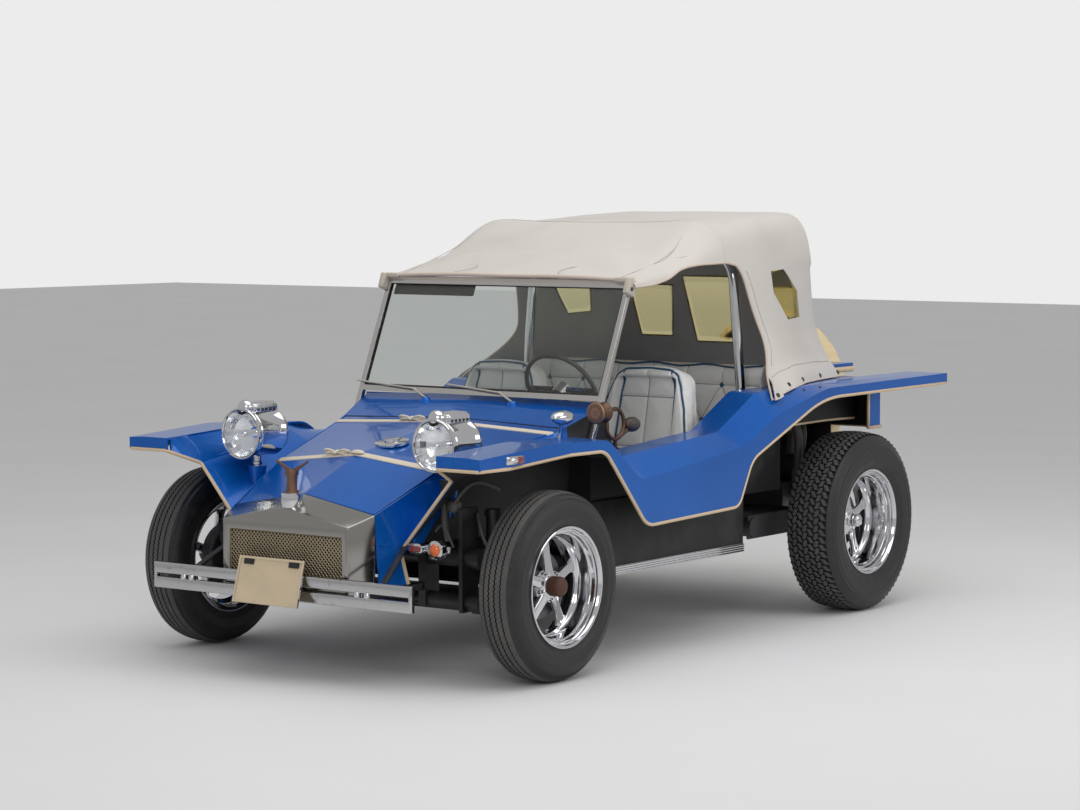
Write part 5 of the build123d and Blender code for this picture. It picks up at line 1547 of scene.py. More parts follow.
    def on_canvas(self, y: float, z: float) -> Spot:
        """Point just outside the canvas's side at a distance along the car and a height."""
        hit = self.beside(y, z)[0]
        if hit is None:
            return (self.surface(y, self.place_at(y, z))[0], y, z)
        return (hit.x + self.proud, hit.y, hit.z)

    def outward(self, y: float, z: float) -> Vector:
        """Outward direction of the canvas's side there."""
        hit = self.beside(y, z)
        return hit[1] if hit[0] is not None else Vector((1, 0, 0))

    def from_above(self, x: float, y: float) -> Spot:
        """Point on the roof under a point in plan."""
        hit = self.tree.ray_cast(Vector((x, y, 1.9)), Vector((0, 0, -1)))[0]
        return tuple(hit + Vector((0, 0, self.proud))) if hit else (x, y, self.surface(y, 1.5)[1])


@dataclass(frozen=True)
class PadFace:
    """Plane that a pad faces, with the lines sewn on it as (across, up) points."""

    origin: Spot
    up: Spot
    out: Spot
    seams: tuple[Pairs, ...] = ()
    pipings: tuple[Pairs, ...] = ()
    buttons: Pairs = ()
    depth: Pair = (-0.09, 0.09)
    low: float = -0.05

    def basis(self) -> np.ndarray:
        """Columns of the across, up and out directions."""
        up = np.array(Vector(self.up).normalized())
        out = np.array(Vector(self.out).normalized())
        return np.stack([np.array((1.0, 0.0, 0.0)), up, out], axis=1)

    def spot(self, across: float, up: float, lift: float = 0.0) -> Vector:
        """Point of the plane, lifted off it."""
        return Vector(np.array(self.origin) + self.basis() @ np.array((across, up, lift)))

    def lines(self) -> list[tuple[float, float, float, float]]:
        """Every run of the seams and pipings."""
        made = []
        for line in (*self.seams, *self.pipings):
            made += [(*a, *b) for a, b in zip(line, line[1:])]
        return made


def arch(half: float, low: float, high: float, top_half: float, bend: float) -> Pairs:
    """Outline of a seat back: sides that lean in above a bend, and rounded shoulders.

    Args:
        half: Half width at the foot.
        low: Height of the foot.
        high: Height of the top.
        top_half: Half width at the top.
        bend: Height at which the sides start to lean.

    Returns:
        Points from the left foot over the top to the right foot.
    """
    side = [(half, low), (half, (low + bend) / 2), (half, bend),
            (half - (half - top_half) * 0.35, bend + (high - bend) * 0.45), (top_half + 0.012, high - 0.06),
            (top_half - 0.006, high - 0.02), (top_half - 0.04, high - 0.002), (0.0, high + 0.004)]
    return tuple([(-x, z) for x, z in side] + side[-2::-1])


@dataclass
class Seats(CarPiece):
    """Two bucket seats and the tufted rear bench, stuffed and piped."""

    back: PadFace = PadFace(
        (0.345, -0.0005, 0.485), (0.0, 0.196, 0.981), (0.0, -0.981, 0.196),
        seams=(((0.0, 0.05), (0.0, 0.515)), ((-0.118, 0.405), (0.118, 0.405)), ((-0.126, 0.215), (0.126, 0.215))),
        pipings=(((-0.128, 0.05), (-0.126, 0.25), (-0.12, 0.42), (-0.106, 0.508)),
                 ((0.128, 0.05), (0.126, 0.25), (0.12, 0.42), (0.106, 0.508)),
                 arch(0.203, 0.05, 0.51, 0.14, 0.235)))
    cushion: PadFace = PadFace(
        (0.345, -0.3, 0.545), (0.0, 1.0, 0.0), (0.0, 0.0, 1.0),
        seams=(((0.0, 0.02), (0.0, 0.3)), ((-0.13, 0.15), (0.13, 0.15))),
        pipings=(((-0.133, 0.012), (-0.133, 0.16), (-0.133, 0.3)), ((0.133, 0.012), (0.133, 0.16), (0.133, 0.3)),
                 ((-0.203, 0.31), (-0.203, 0.1), (-0.2, 0.04), (-0.165, 0.012), (0.0, 0.006),
                  (0.165, 0.012), (0.2, 0.04), (0.203, 0.1), (0.203, 0.31))),
        low=-0.01)
    tuft: float = 0.165
    tuft_start: float = -0.128
    bench_rows: tuple[float, ...] = (0.476, 0.402, 0.262, 0.15, 0.02)
    band_foot: float = 0.48
    bench_half: Pair = (0.53, 0.48)
    wave_step: float = 0.0545
    button: Pairs = ((0.0, 0.0075), (0.005, 0.007), (0.0092, 0.0045), (0.0112, 0.001), (0.0105, -0.003))
    thread: float = 0.0013
    facing: Pair = (0.25, 0.45)
    seam_width: float = 0.0055
    button_depth: float = 0.0085
    button_reach: float = 0.017

    def wave(self, across: float) -> float:
        """Rise of the bench's upper piping at a distance from the middle."""
        return 0.006 * math.sin(across / self.wave_step * 1.35 + 0.6)

    def bench_back(self) -> PadFace:
        """Tufted face of the rear bench's back."""
        buttons, seams = [], []
        top, first, second, third, foot = self.bench_rows
        upper_half, lower_half = self.bench_half
        for k in range(-2, 5):
            x = self.tuft_start + self.tuft * k
            if abs(x) < upper_half:
                buttons.append((x, first))
                seams.append(((x + 0.006, top), (x, first)))
            for shift in (-0.5, 0.5):
                mid = x + self.tuft * shift
                if abs(x) < upper_half and abs(mid) < upper_half:
                    seams.append(((x, first), (mid, second)))
                if abs(mid) < 0.5 and abs(x) < lower_half:
                    seams.append(((mid, second), (x, third)))
            if abs(x + self.tuft / 2) < 0.5:
                buttons.append((x + self.tuft / 2, second))
            if abs(x) < lower_half:
                seams.append(((x, third), (x, foot)))
        seams.append(((-0.54, first), (0.54, first)))
        across = [k * self.wave_step for k in range(-10, 11)]
        piping = tuple((x, top + self.wave(x)) for x in across)
        return PadFace((0.0, 0.5245, 0.5), (0.0, 0.1387, 0.99), (0.0, -0.99, 0.1387), tuple(seams), (piping,),
                       tuple(buttons), (-0.06, 0.09), -0.02)

    def bench_cushion(self) -> PadFace:
        """Piped top of the rear bench's cushion."""
        seams = tuple(((x, 0.012), (x, 0.235)) for x in (-0.34, -0.17, 0.0, 0.17, 0.34))
        piping = tuple((x * 0.0495, 0.012) for x in range(-10, 11))
        return PadFace((0.0, 0.2645, 0.64), (0.0, 1.0, 0.0), (0.0, 0.0, 1.0), seams, (piping,), (), (-0.06, 0.06))

    def stuffed(self, node: str, name: str, voxel: float, cap: float) -> Piece:
        """Skin a seat's solid with even faces and let it swell like stuffed vinyl.

        Args:
            node: Name of the solid.
            name: Name of the pad.
            voxel: Size of the faces in metres.
            cap: Furthest that a point may swell.

        Returns:
            The pad, without seams.
        """
        pad = merged_copy(node, name)
        pad.data.remesh_voxel_size = voxel
        activate(pad)
        bpy.ops.object.voxel_remesh()
        modify(pad, "SMOOTH", factor=0.5, iterations=7)
        self.swell(pad, cap)
        modify(pad, "SMOOTH", factor=0.5, iterations=3)
        modify(pad, "SUBSURF", levels=1, render_levels=1)
        return pad

    @staticmethod
    def swell(pad: Piece, cap: float) -> None:
        """Run the cloth simulation under pressure and keep its result within a cap.

        Args:
            pad: The pad.
            cap: Furthest that a point may move, in metres.
        """
        scene = bpy.context.scene
        count = len(pad.data.vertices)
        start = np.empty(count * 3)
        pad.data.vertices.foreach_get("co", start)
        cloth = pad.modifiers.new("swell", "CLOTH")
        cloth.settings.quality = 4
        cloth.settings.mass = 0.3
        cloth.settings.tension_stiffness = cloth.settings.compression_stiffness = 18.0
        cloth.settings.bending_stiffness = 1.2
        cloth.settings.use_pressure = True
        cloth.settings.uniform_pressure_force = 4.0
        cloth.settings.effector_weights.gravity = 0.0
        cloth.point_cache.frame_start, cloth.point_cache.frame_end = 1, 16
        for step in range(1, 17):
            scene.frame_set(step)
        swollen = pad.evaluated_get(bpy.context.evaluated_depsgraph_get())
        end = np.empty(count * 3)
        swollen.data.vertices.foreach_get("co", end)
        pad.modifiers.remove(cloth)
        scene.frame_set(1)
        move = (end - start).reshape(-1, 3)
        length = np.linalg.norm(move, axis=1, keepdims=True)
        move *= np.minimum(1.0, cap / np.maximum(length, 1e-9))
        pad.data.vertices.foreach_set("co", start + move.ravel())
        pad.data.update()

    def sew(self, pad: Piece, face: PadFace, groove: float = 0.0055, crown: float = 0.0075,
            reach: float = 0.036) -> None:
        """Press a face's seams into a pad and crown the vinyl between them.

        Args:
            pad: The pad.
            face: The face and its lines.
            groove: Depth of a seam.
            crown: Height of the crown between seams.
            reach: Distance from a seam at which the crown is nearly full.
        """
        count = len(pad.data.vertices)
        points, normals = np.empty(count * 3), np.empty(count * 3)
        pad.data.vertices.foreach_get("co", points)
        pad.data.vertices.foreach_get("normal", normals)
        points, normals = points.reshape(-1, 3), normals.reshape(-1, 3)
        local = (points - np.array(face.origin)) @ face.basis()
        least, run_up = self.facing
        facing = np.clip((normals @ face.basis()[:, 2] - least) / run_up, 0, 1)
        near = (local[:, 2] > face.depth[0]) & (local[:, 2] < face.depth[1]) & (local[:, 1] > face.low)
        facing *= near
        flat = local[:, :2]
        nearest = np.full(count, 1.0)
        for x0, z0, x1, z1 in face.lines():
            a, run = np.array((x0, z0)), np.array((x1 - x0, z1 - z0))
            share = np.clip(((flat - a) @ run) / max(run @ run, 1e-12), 0, 1)
            nearest = np.minimum(nearest, np.linalg.norm(flat - a - share[:, None] * run, axis=1))
        push = crown * (1 - np.exp(-(nearest / reach) ** 2)) - groove * np.exp(-(nearest / self.seam_width) ** 2)
        for across, up in face.buttons:
            away = np.linalg.norm(flat - np.array((across, up)), axis=1)
            push -= self.button_depth * np.exp(-(away / self.button_reach) ** 2)
        points += normals * (push * facing)[:, None]
        pad.data.vertices.foreach_set("co", points.ravel())
        pad.data.update()

    def pipe(self, pad: Piece, face: PadFace, radius: float = 0.0042) -> list[Piece]:
        """Lay a face's pipings and buttons on the sewn pad.

        Args:
            pad: The pad.
            face: The face and its lines.
            radius: Radius of the piping.

        Returns:
            The pipings and buttons.
        """
        tree = tree_of(pad)
        aim = -Vector(face.out).normalized()
        made = []

        def laid(across: float, up: float) -> Vector | None:
            """Point of the pad under a point of the face."""
            return tree.ray_cast(face.spot(across, up, 0.15), aim, 0.26)[0]

        for line in face.pipings:
            path = []
            for (x0, z0), (x1, z1) in zip(line, line[1:]):
                steps = max(1, int(math.hypot(x1 - x0, z1 - z0) / 0.02))
                path += [(x0 + (x1 - x0) * k / steps, z0 + (z1 - z0) * k / steps) for k in range(steps)]
            hits = [laid(*spot) for spot in (*path, line[-1])]
            spots = [hit - aim * radius * 0.25 for hit in hits if hit is not None]
            if len(spots) > 3:
                made.append(tube("piping", spots, radius, 2))
        for spot in face.buttons:
            hit = laid(*spot)
            if hit is not None:
                made.append(lathe("button", self.button, hit, -aim, 16, 60.0))
        return made

    def threads(self, pad: Piece, *faces: PadFace) -> list[Piece]:
        """Dark thread along the seams of these faces."""
        bare = [replace(face, pipings=face.seams, buttons=()) for face in faces]
        return [run for face in bare for run in self.pipe(pad, face, self.thread)]

    def bucket(self) -> None:
        """Stuff, sew and pipe the left bucket seat and its twin on the right."""
        seat = self.stuffed("seat_left", "seat_left_pad", 0.008, 0.008)
        for face in (self.back, self.cushion):
            self.sew(seat, face)
        piping = joined("seat_left_piping", self.pipe(seat, self.back) + self.pipe(seat, self.cushion))
        threads = joined("seat_left_threads", self.threads(seat, self.back, self.cushion))
        smooth(seat, 60.0)
        far = twin(seat, "seat_right_pad", FLIP)
        self.add(seat, "white_vinyl", replaces=("seat_left",))
        self.add(far, "white_vinyl", replaces=("seat_right",))
        for trim, finish in ((piping, "blue_trim"), (threads, "thread")):
            self.add(twin(trim, trim.name.replace("left", "right"), FLIP), finish)
            self.add(trim, finish)

    def bench(self) -> None:
        """Stuff, tuft and pipe the rear bench."""
        bench = self.stuffed("rear_bench", "rear_bench_pad", 0.0095, 0.007)
        back, cushion = self.bench_back(), self.bench_cushion()
        self.sew(bench, back, 0.006, 0.011, 0.04)
        self.sew(bench, cushion)
        trims = joined("rear_bench_piping", self.pipe(bench, back, 0.004) + self.pipe(bench, cushion))
        self.add(joined("rear_bench_threads", self.threads(bench, back)), "thread")
        basis, origin = back.basis(), np.array(back.origin)

        def banded(face: bpy.types.MeshPolygon) -> bool:
            """Tell whether a face lies in the cream band along the top."""
            across, up, out = (np.array(face.center) - origin) @ basis
            return up > self.band_foot + self.wave(across)

        self.split(bench, banded)
        smooth(bench, 60.0)
        self.add(bench, "white_vinyl", "cream_leather", replaces=("rear_bench",))
        self.add(trims, "blue_trim")

    def build(self) -> None:
        """Make the three seats."""
        self.bucket()
        self.bench()


@dataclass(frozen=True)
class WheelSize:
    """Sizes of one axle's wheels in metres."""

    axle: str
    axle_y: float
    radius: float
    tread_half: float
    rim_half: float
    centre_x: float
    hub_depth: float
    drum_face: float
    side: Pairs

    @property
    def centre(self) -> Spot:
        """Middle of the left wheel."""
        return (self.centre_x, self.axle_y, self.radius)

    @property
    def face(self) -> float:
        """Distance of the hub's face from the wheel's middle."""
        return self.rim_half - self.hub_depth


FRONT_WHEEL = WheelSize(
    "front", FRONT_AXLE_Y, 0.324, 0.055, 0.08, 0.753, 0.088, 0.676,
    ((0.07, 0.199), (0.0735, 0.212), (0.0785, 0.226), (0.081, 0.231), (0.0825, 0.234), (0.0822, 0.239),
     (0.0829, 0.252), (0.0826, 0.262), (0.0834, 0.265), (0.0824, 0.268), (0.0795, 0.281), (0.0752, 0.291),
     (0.07, 0.2995), (0.0655, 0.3055), (0.0605, 0.3105), (0.0568, 0.3142)))
REAR_WHEEL = WheelSize(
    "rear", REAR_AXLE_Y, 0.353, 0.08, 0.093, 0.711, 0.114, 0.622,
    ((0.083, 0.199), (0.09, 0.211), (0.098, 0.226), (0.102, 0.236), (0.1037, 0.2395), (0.1035, 0.245),
     (0.1055, 0.258), (0.106, 0.271), (0.1052, 0.284), (0.1062, 0.287), (0.1045, 0.2905), (0.1038, 0.301),
     (0.1045, 0.304), (0.1018, 0.3075), (0.0975, 0.3195), (0.0925, 0.33), (0.0865, 0.3395)))


@dataclass
class Wheels(CarPiece):
    """Four tyres on deep five-spoke wheels."""

    rib_edges: tuple[float, ...] = (-0.0335, -0.0112, 0.0112, 0.0335)
    groove_half: float = 0.0022
    groove_depth: float = 0.0065
    crown: float = 0.0075
    zigzags: int = 120
    zigzag_reach: float = 0.0024
    serration: Pair = (0.295, 0.314)
    serration_depth: float = 0.0016
    block_columns: int = 7
    blocks_around: int = 74
    block_depth: float = 0.0075
    block_length: Pair = (0.0245, 0.0255)
    block_width: Pair = (0.35, 0.33)
    block_lean: Pair = (-0.62, 0.3)
    spokes: int = 5
    spoke_sides: int = 20
    spoke_power: float = 0.75
    spoke_rows: tuple[tuple[float, float, float, float], ...] = (
        (0.034, 0.006, 0.023, 0.016), (0.052, 0.004, 0.0205, 0.015), (0.075, 0.0, 0.0185, 0.0135),
        (0.105, -0.005, 0.0175, 0.0125), (0.132, -0.009, 0.018, 0.0122), (0.148, -0.012, 0.0205, 0.0125),
        (0.158, -0.013, 0.025, 0.013), (0.168, -0.014, 0.033, 0.014))
    lip: Pairs = ((0.207, -0.01), (0.2073, -0.004), (0.2062, -0.001), (0.204, 0.0), (0.2005, -0.0005),
        (0.1975, -0.003), (0.1955, -0.008), (0.1915, -0.015), (0.1885, -0.019), (0.186, -0.0195), (0.1852, -0.022),
        (0.1848, -0.031), (0.1832, -0.034), (0.179, -0.0355), (0.178, -0.039))
    well: Pairs = ((0.1765, 0.02), (0.1745, 0.01), (0.17, 0.003), (0.166, -0.001), (0.164, -0.007), (0.164, -0.026),
        (0.17, -0.032))
    flange: Pairs = ((0.18, 0.03), (0.183, 0.014), (0.198, 0.006), (0.203, 0.0), (0.207, 0.001), (0.207, 0.01),
        (0.1905, 0.011))
    core: Pairs = ((0.03, 0.024), (0.04, 0.0235), (0.0455, 0.02), (0.05, 0.012), (0.0575, 0.002), (0.062, -0.01),
        (0.062, -0.022), (0.03, -0.022))
    nut_circle: float = 0.0475
    nut_seat: Pairs = ((0.0, 0.013), (0.0085, 0.013), (0.0095, 0.011), (0.0105, -0.006))
    nut: Pairs = ((0.0, 0.03), (0.0035, 0.029), (0.006, 0.025), (0.0068, 0.024), (0.0068, 0.012))
    cap_lift: float = 0.022
    front_cap: Pairs = ((0.0345, 0.0), (0.0345, 0.03), (0.0339, 0.034), (0.0329475, 0.039), (0.02898, 0.0445),
        (0.02139, 0.049), (0.01173, 0.0512), (0.0, 0.0518))
    rear_cap: Pairs = ((0.03, 0.0), (0.03, 0.006), (0.0275, 0.008), (0.0265, 0.011), (0.0265, 0.022), (0.024, 0.024),
        (0.024, 0.034), (0.0225, 0.0385), (0.018, 0.0425), (0.01, 0.045), (0.0, 0.0457))
    drum_ribs: int = 6

    @staticmethod
    def turned(name: str, size: WheelSize, profile: Pairs, lift: float = 0.0, steps: int = 64,
               degrees: float = 30.0, at: Point | None = None) -> Piece:
        """Spin a profile about the wheel's axle.

        Args:
            name: Name of the piece.
            size: Sizes of the wheel.
            profile: Points as (radius, distance along the axle).
            lift: Distance added along the axle.
            steps: Faces around.
            degrees: Edges sharper than this stay sharp.
            at: Centre of the spin, or None for the wheel's.

        Returns:
            The turned piece.
        """
        return lathe(name, [(r, along + lift) for r, along in profile], at or size.centre, (1, 0, 0), steps, degrees)

    def section(self, size: WheelSize) -> list[tuple[float, float, float, int]]:
        """Points of the front tyre's section, from the inner bead to the outer one.

        Args:
            size: Sizes of the wheel.

        Returns:
            Rows of distance along the axle, radius, share of the zigzag, and a flag: 1 for a serrated
            point, 2 for the left edge of a rib's top, 0 for the others.
        """
        low_r, high_r = self.serration
        outer = [(x, r, 0.0, int(low_r < r < high_r)) for x, r in size.side]
        inner = [(-x, r, wave, flag) for x, r, wave, flag in outer]
        half, low = size.tread_half, size.radius - self.groove_depth

        def crown(x: float) -> float:
            """Radius of the tread at a distance along the axle."""
            return size.radius - self.crown * (x / half) ** 2

        tread = [(-half, crown(half), 0.0, 2)]
        for x in self.rib_edges:
            edge = self.groove_half + 0.0006
            tread += [(x - edge, crown(x), 1.0, 0), (x - self.groove_half, low, 1.0, 0),
                      (x + self.groove_half, low, 1.0, 0), (x + edge, crown(x), 1.0, 2)]
        tread.append((half, crown(half), 0.0, 0))
        return inner + tread + outer[::-1]

    def ribbed_tyre(self, size: WheelSize) -> Piece:
        """Front tyre: ribs between zigzag grooves, and fine bars on the shoulders."""
        section = self.section(size)
        count = self.zigzags * 4
        rows = []
        for k in range(count):
            turn = math.tau * k / count
            wave = (-1, 0, 1, 0)[k % 4] * self.zigzag_reach
            row = []
            for x, r, share, flag in section:
                cut = self.serration_depth if flag == 1 and k % 2 else 0.0
                place = x + wave * share - math.copysign(cut, x)
                row.append((size.centre_x + place, size.axle_y + (r - cut) * math.sin(turn),
                            size.radius + (r - cut) * math.cos(turn)))
            rows.append(row)
        piece = sheet_of_rows("tyre_front_left_rubber", rows + rows[:1], loop=True)
        width = len(section)
        tops = [flag == 2 for x, r, share, flag in section]
        for number, face in enumerate(piece.data.polygons):
            face.material_index = int(tops[number % width])
        return tidy_faces(piece, 1e-5, 38.0)

    def blocks(self, size: WheelSize) -> Piece:
        """Oblique tread blocks in columns that lean by turns."""
        half = size.tread_half
        pitch = 2 * (half + 0.003) / self.block_columns
        x1, y1, z1 = size.centre
        points, faces = [], []
        for column in range(self.block_columns):
            odd = column % 2
            middle = -half - 0.003 + pitch * (column + 0.5)
            lean, length, wide = self.block_lean[odd], self.block_length[odd], pitch * self.block_width[odd]
            for k in range(self.blocks_around):
                start = math.tau * (k + 0.5 * odd) / self.blocks_around
                first = len(points)
                for grow, drop in ((1.1, self.block_depth + 0.001), (1.0, 0.0)):
                    for sx, sy in ((-1, -1), (1, -1), (1, 1), (-1, 1)):
                        run = sy * length / 2 * grow
                        x = middle + sx * wide * grow + lean * run
                        r = size.radius - self.crown * (x / half) ** 2 - drop
                        turn = start + run / size.radius
                        points.append((x1 + x, y1 + r * math.sin(turn), z1 + r * math.cos(turn)))
                faces.append(tuple(first + n for n in (4, 7, 6, 5)))
                faces += [tuple(first + n for n in (a, 4 + a, 4 + (a + 1) % 4, (a + 1) % 4)) for a in range(4)]
        made = face_out(meshed("blocks", points, [], faces))
        for number, face in enumerate(made.data.polygons):
            face.material_index = int(number % 5 == 0)
        return made

    def blocked_tyre(self, size: WheelSize) -> Piece:
        """Rear tyre: a smooth carcass under columns of blocks."""
        half, base = size.tread_half, size.radius - self.block_depth
        profile = [*size.side, (half, base - 0.007), (half * 0.7, base - 0.003), (half * 0.35, base - 0.0006),
                   (0.0, base)]
        profile += [(-x, r) for x, r in profile[-2::-1]] + profile[:1]
        carcass = self.turned("carcass", size, [(r, x) for x, r in profile], steps=128, degrees=40.0)
        parts = [carcass, self.blocks(size)]
        for part in parts:
            self.finishes.put(part, "tyre_rubber", "tread_dust")
        return joined("tyre_rear_left_rubber", parts)

    def barrel(self, size: WheelSize) -> Piece:
        """Rolled lip, stepped well and inner flange of the wheel."""
        half = size.rim_half
        profile = [(r, half + along) for r, along in self.lip]
        profile += [(r, size.face + along) for r, along in self.well]
        profile += [(r, along - half) for r, along in self.flange]
        profile += [(0.1905, half - 0.011), profile[0]]
        return self.turned("barrel", size, profile, steps=96, degrees=28.0)

    def spoke(self, size: WheelSize) -> Piece:
        """One rounded spoke that flares into the barrel."""
        x, y, z = size.centre
        rows = []
        for out, shift, wide, thick in self.spoke_rows:
            row = []
            for k in range(self.spoke_sides):
                turn = math.tau * k / self.spoke_sides
                c, s = math.cos(turn), math.sin(turn)
                side = math.copysign(abs(c) ** self.spoke_power, c) * wide
                deep = math.copysign(abs(s) ** self.spoke_power, s) * thick
                row.append((x + size.face + shift + deep, y + side, z + out))
            rows.append(row)
        return tidy_faces(sheet_of_rows("spoke", rows, loop=True), 1e-6, 60.0)

    def hub(self, size: WheelSize) -> Piece:
        """Hub with a nut between each two spokes."""
        x, y, z = size.centre
        parts = [self.turned("core", size, self.core, size.face)]
        for k in range(self.spokes):
            turn = math.tau * (k + 0.5) / self.spokes
            at = (x, y + self.nut_circle * math.sin(turn), z + self.nut_circle * math.cos(turn))
            parts += [self.turned("seat", size, self.nut_seat, size.face, 20, at=at),
                      self.turned("nut", size, self.nut, size.face, 6, 20.0, at)]
        return joined("hub", parts)

    def drum(self, size: WheelSize) -> Piece:
        """Cast brake drum with cooling ribs."""
        low, high = size.drum_face - size.centre_x, size.face - 0.02
        profile = [(0.018, low), (0.1, low), (0.112, low + 0.002)]
        step = (high - low - 0.006) / self.drum_ribs
        for k in range(self.drum_ribs):
            start = low + 0.004 + step * k
            profile += [(0.115, start), (0.115, start + step * 0.45), (0.109, start + step * 0.5),
                        (0.109, start + step * 0.95)]
        profile += [(0.112, high - 0.002), (0.104, high), (0.09, high - 0.004), (0.018, high - 0.004), (0.018, low)]
        return self.turned(f"drum_{size.axle}_left", size, profile, steps=72)

    def build(self) -> None:
        """Model one wheel of each axle and set it on both sides."""
        for size, make_tyre, cap_profile, cap_finish in (
                (FRONT_WHEEL, self.ribbed_tyre, self.front_cap, "rust_cap"),
                (REAR_WHEEL, self.blocked_tyre, self.rear_cap, "rim_chrome")):
            tyre = make_tyre(size)
            spokes = ring_of(self.spoke(size), self.spokes, size.centre, "X")
            rim = joined(f"rim_{size.axle}_left_metal", [self.barrel(size), spokes, self.hub(size)])
            cap = self.turned(f"cap_{size.axle}_left", size, cap_profile, size.face + self.cap_lift, 48, 35.0)
            wheel = ((tyre, ("tyre_rubber", "tread_dust"), (f"tyre_{size.axle}_left",)),
                     (rim, ("rim_chrome",), (f"rim_{size.axle}_left",)), (cap, (cap_finish,), ()),
                     (self.drum(size), ("grey_castings",), ()))
            for side in ("left", "right"):
                for piece, names, nodes in wheel:
                    if side == "right":
                        piece = twin(piece, piece.name.replace("left", side), FLIP)
                    self.add(piece, *names, body=f"wheel_{size.axle}_{side}",
                             replaces=[node.replace("left", side) for node in nodes])


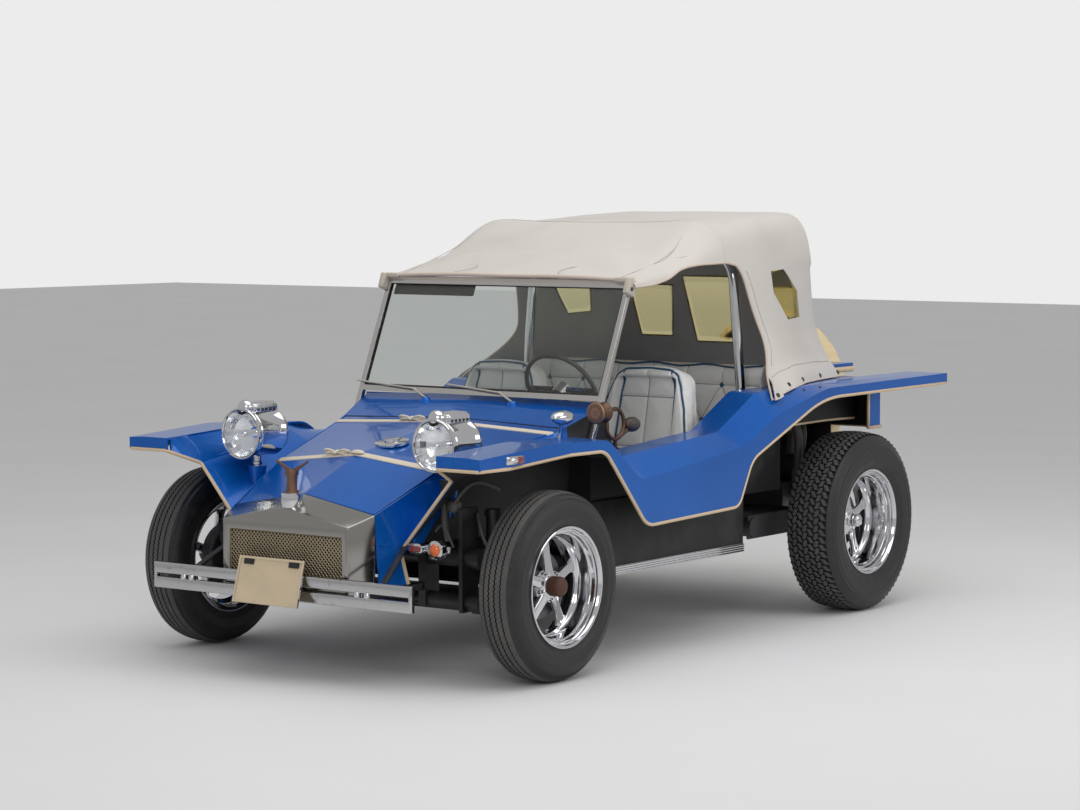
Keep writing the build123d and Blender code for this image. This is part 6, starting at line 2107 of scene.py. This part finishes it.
@dataclass
class RunningGear(CarPiece):
    """Axles, engine and spare, with the hoses and clutter about them."""

    carrier_end: float = 1.475
    spare_at: Spot = (0.0, 1.6445, 0.8)
    cover: Pairs = ((0.0, 0.0), (0.06, 0.001), (0.1, 0.003), (0.16, 0.001), (0.2, 0.0005), (0.24, 0.0), (0.27, 0.001),
        (0.295, 0.005), (0.317, 0.013), (0.333, 0.026), (0.342, 0.045), (0.345, 0.068), (0.345, 0.102),
        (0.342, 0.125), (0.333, 0.144), (0.317, 0.157), (0.295, 0.165), (0.24, 0.168), (0.12, 0.169), (0.0, 0.17))
    calm_radius: float = 0.07
    cover_middle: float = 1.56
    pleat: float = 0.0038
    pleats: Spots = ((54, 1.0, 0.0), (23, 0.45, 1.3), (87, 0.3, 0.4))
    pleat_rise: float = 1.75
    pleat_start: float = 0.08
    rim_radius: float = 0.345
    rim_fade: float = 0.05
    rim_start: float = 0.3
    rim_pleat: float = 0.0016
    rim_share: float = 0.6
    belt_wheel: Pairs = ((0.0, 0.03), (0.03, 0.03), (0.034, 0.022), (0.082, 0.018), (0.086, 0.014), (0.08, 0.008),
        (0.086, 0.002), (0.0, 0.002))
    air_filter: Pairs = ((0.0, 0.07), (0.085, 0.066), (0.092, 0.058), (0.092, 0.008), (0.085, 0.0), (0.0, 0.0))
    reservoir: Pairs = ((0.0, 0.016), (0.012, 0.015), (0.02, 0.01), (0.023, 0.002), (0.023, -0.02), (0.0, -0.022))
    engine_runs: tuple[tuple[Spots, float], ...] = (
        (((0.5, 0.86, 0.8), (0.53, 0.89, 0.73), (0.525, 0.905, 0.62), (0.515, 0.9, 0.5)), 0.017),
        (((0.46, 0.97, 0.82), (0.5, 0.98, 0.74), (0.505, 0.975, 0.64), (0.47, 0.96, 0.52)), 0.014),
        (((0.29, 1.13, 0.78), (0.36, 1.09, 0.8), (0.42, 1.04, 0.74), (0.42, 1.02, 0.6)), 0.021),
        (((0.56, 0.74, 0.78), (0.55, 0.8, 0.72), (0.5, 0.86, 0.7), (0.4, 0.92, 0.7)), 0.009))
    front_runs: tuple[tuple[Spots, float], ...] = (
        (((0.435, -1.272, 0.64), (0.442, -1.276, 0.59), (0.438, -1.274, 0.53), (0.452, -1.268, 0.47)), 0.012),
        (((0.4, -1.272, 0.5), (0.43, -1.282, 0.535), (0.46, -1.28, 0.5), (0.475, -1.27, 0.45)), 0.005),
        (((0.525, -1.2, 0.56), (0.56, -1.235, 0.52), (0.585, -1.22, 0.44), (0.62, -1.18, 0.38)), 0.006),
        (((0.49, -1.285, 0.6), (0.53, -1.28, 0.66), (0.56, -1.22, 0.68), (0.58, -1.15, 0.64)), 0.007))

    def spare(self) -> None:
        """Spare wheel in a gathered cloth cover, on the carrier of the CAD."""
        carrier = self.refine("spare_wheel", "black_paint", angle=40.0)
        edit(carrier)
        bpy.ops.mesh.select_all(action="DESELECT")
        leave_edit()
        for face in carrier.data.polygons:
            face.select = face.center.y > self.carrier_end
        bpy.ops.object.mode_set(mode="EDIT")
        bpy.ops.mesh.delete(type="FACE")
        leave_edit()
        cover = lathe("spare_cover", self.cover, self.spare_at, (0, -1, 0), 216, 60.0)
        for vertex in cover.data.vertices:
            self.gather(vertex)
        self.add(cover, "rear_cloth")

    def gather(self, vertex: bpy.types.MeshVertex) -> None:
        """Press the cover's pleats into one point of it."""
        reach = Vector((vertex.co.x, 0.0, vertex.co.z - self.spare_at[2]))
        radius = reach.length
        if radius < self.calm_radius:
            return
        turn = math.atan2(reach.x, reach.z)
        near_rim = min(1.0, max(0.0, (self.rim_radius - radius) / self.rim_fade))
        pull = min(1.0, (radius - self.calm_radius) / self.pleat_start) * (0.5 + 0.5 * near_rim)
        wave = sum(share * math.sin(turn * count + shift) for count, share, shift in self.pleats) + self.pleat_rise
        vertex.co.y -= math.copysign(self.pleat, vertex.co.y - self.cover_middle) * pull * wave
        if radius > self.rim_start:
            vertex.co -= reach.normalized() * self.rim_pleat * wave * self.rim_share

    def engine(self) -> None:
        """Fan housing, tins, belt wheel, air filter and hoses over the engine block."""
        tins = [block("fan_housing", (-0.29, 1.08, 0.585), (0.29, 1.19, 0.85), 0.045, 4),
                block("rear_tin", (-0.5, 1.194, 0.39), (0.5, 1.202, 0.85), 0.003),
                lathe("belt_wheel", self.belt_wheel, (0, 1.226, 0.45), (0, 1, 0), 40),
                lathe("air_filter", self.air_filter, (0.1, 0.98, 0.78), (0, 0, 1), 40)]
        self.add(joined("engine_tins", tins), "black_paint")
        hoses = [tube("hose", *run) for run in self.engine_runs]
        self.add(both(joined("engine_hoses", hoses)), "hose_grey")

    def front_clutter(self) -> None:
        """Hoses, brake lines, reservoir and under pan about the front beam; the black pan also paints the floor's
        shadow there.
        """
        lines = [tube("hose", *run) for run in self.front_runs]
        lines.append(lathe("reservoir", self.reservoir, (0.48, -1.28, 0.592), (0, -1, 0), 28, 40.0))
        self.add(joined("front_hoses", lines), "hose_grey")
        # The pan and ribs stand for the frame head and also put black where the floor lies in shadow under the beam:
        # painted shade.
        pans = [block("under_pan", (-0.34, -1.275, 0.246), (0.34, -0.86, 0.254))]
        pans += [block("pan_rib", (-0.3, y, 0.236), (0.3, y + 0.02, 0.25)) for y in (-1.045, -0.965)]
        self.add(joined("front_under_pan", pans), "black_paint")

    def build(self) -> None:
        """Dress everything below the shell."""
        for node in ("front_axle", "exhaust"):
            self.refine(node, "black_paint", angle=40.0)
        for node in ("transaxle", "engine_block"):
            self.refine(node, "grey_castings", angle=40.0)
        self.spare()
        self.engine()
        self.front_clutter()
        self.refine("track_rod", "black_paint", body="track_rod_body", angle=40.0)
        for side in ("left", "right"):
            self.refine(f"knuckle_{side}", "black_paint", body=f"knuckle_{side}_body", angle=40.0)


def main() -> None:
    """Build the stage and every sub-assembly in order."""
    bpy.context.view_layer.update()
    Studio().build()
    finishes = Finishes()
    for kind in (BodyShell, Nose, Screen, CanvasTop, Seats, Wheels, RunningGear):
        kind(finishes).build()
        LOG.info("%s done", kind.__name__)
    deselect()


logging.basicConfig(level=logging.INFO, format="%(message)s")
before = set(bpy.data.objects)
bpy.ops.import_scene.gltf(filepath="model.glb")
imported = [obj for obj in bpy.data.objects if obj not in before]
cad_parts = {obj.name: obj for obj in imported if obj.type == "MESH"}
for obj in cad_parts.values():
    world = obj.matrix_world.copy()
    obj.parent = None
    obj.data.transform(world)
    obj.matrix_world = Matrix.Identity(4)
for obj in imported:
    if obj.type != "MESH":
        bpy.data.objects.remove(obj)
if __name__ == "__main__":
    main()
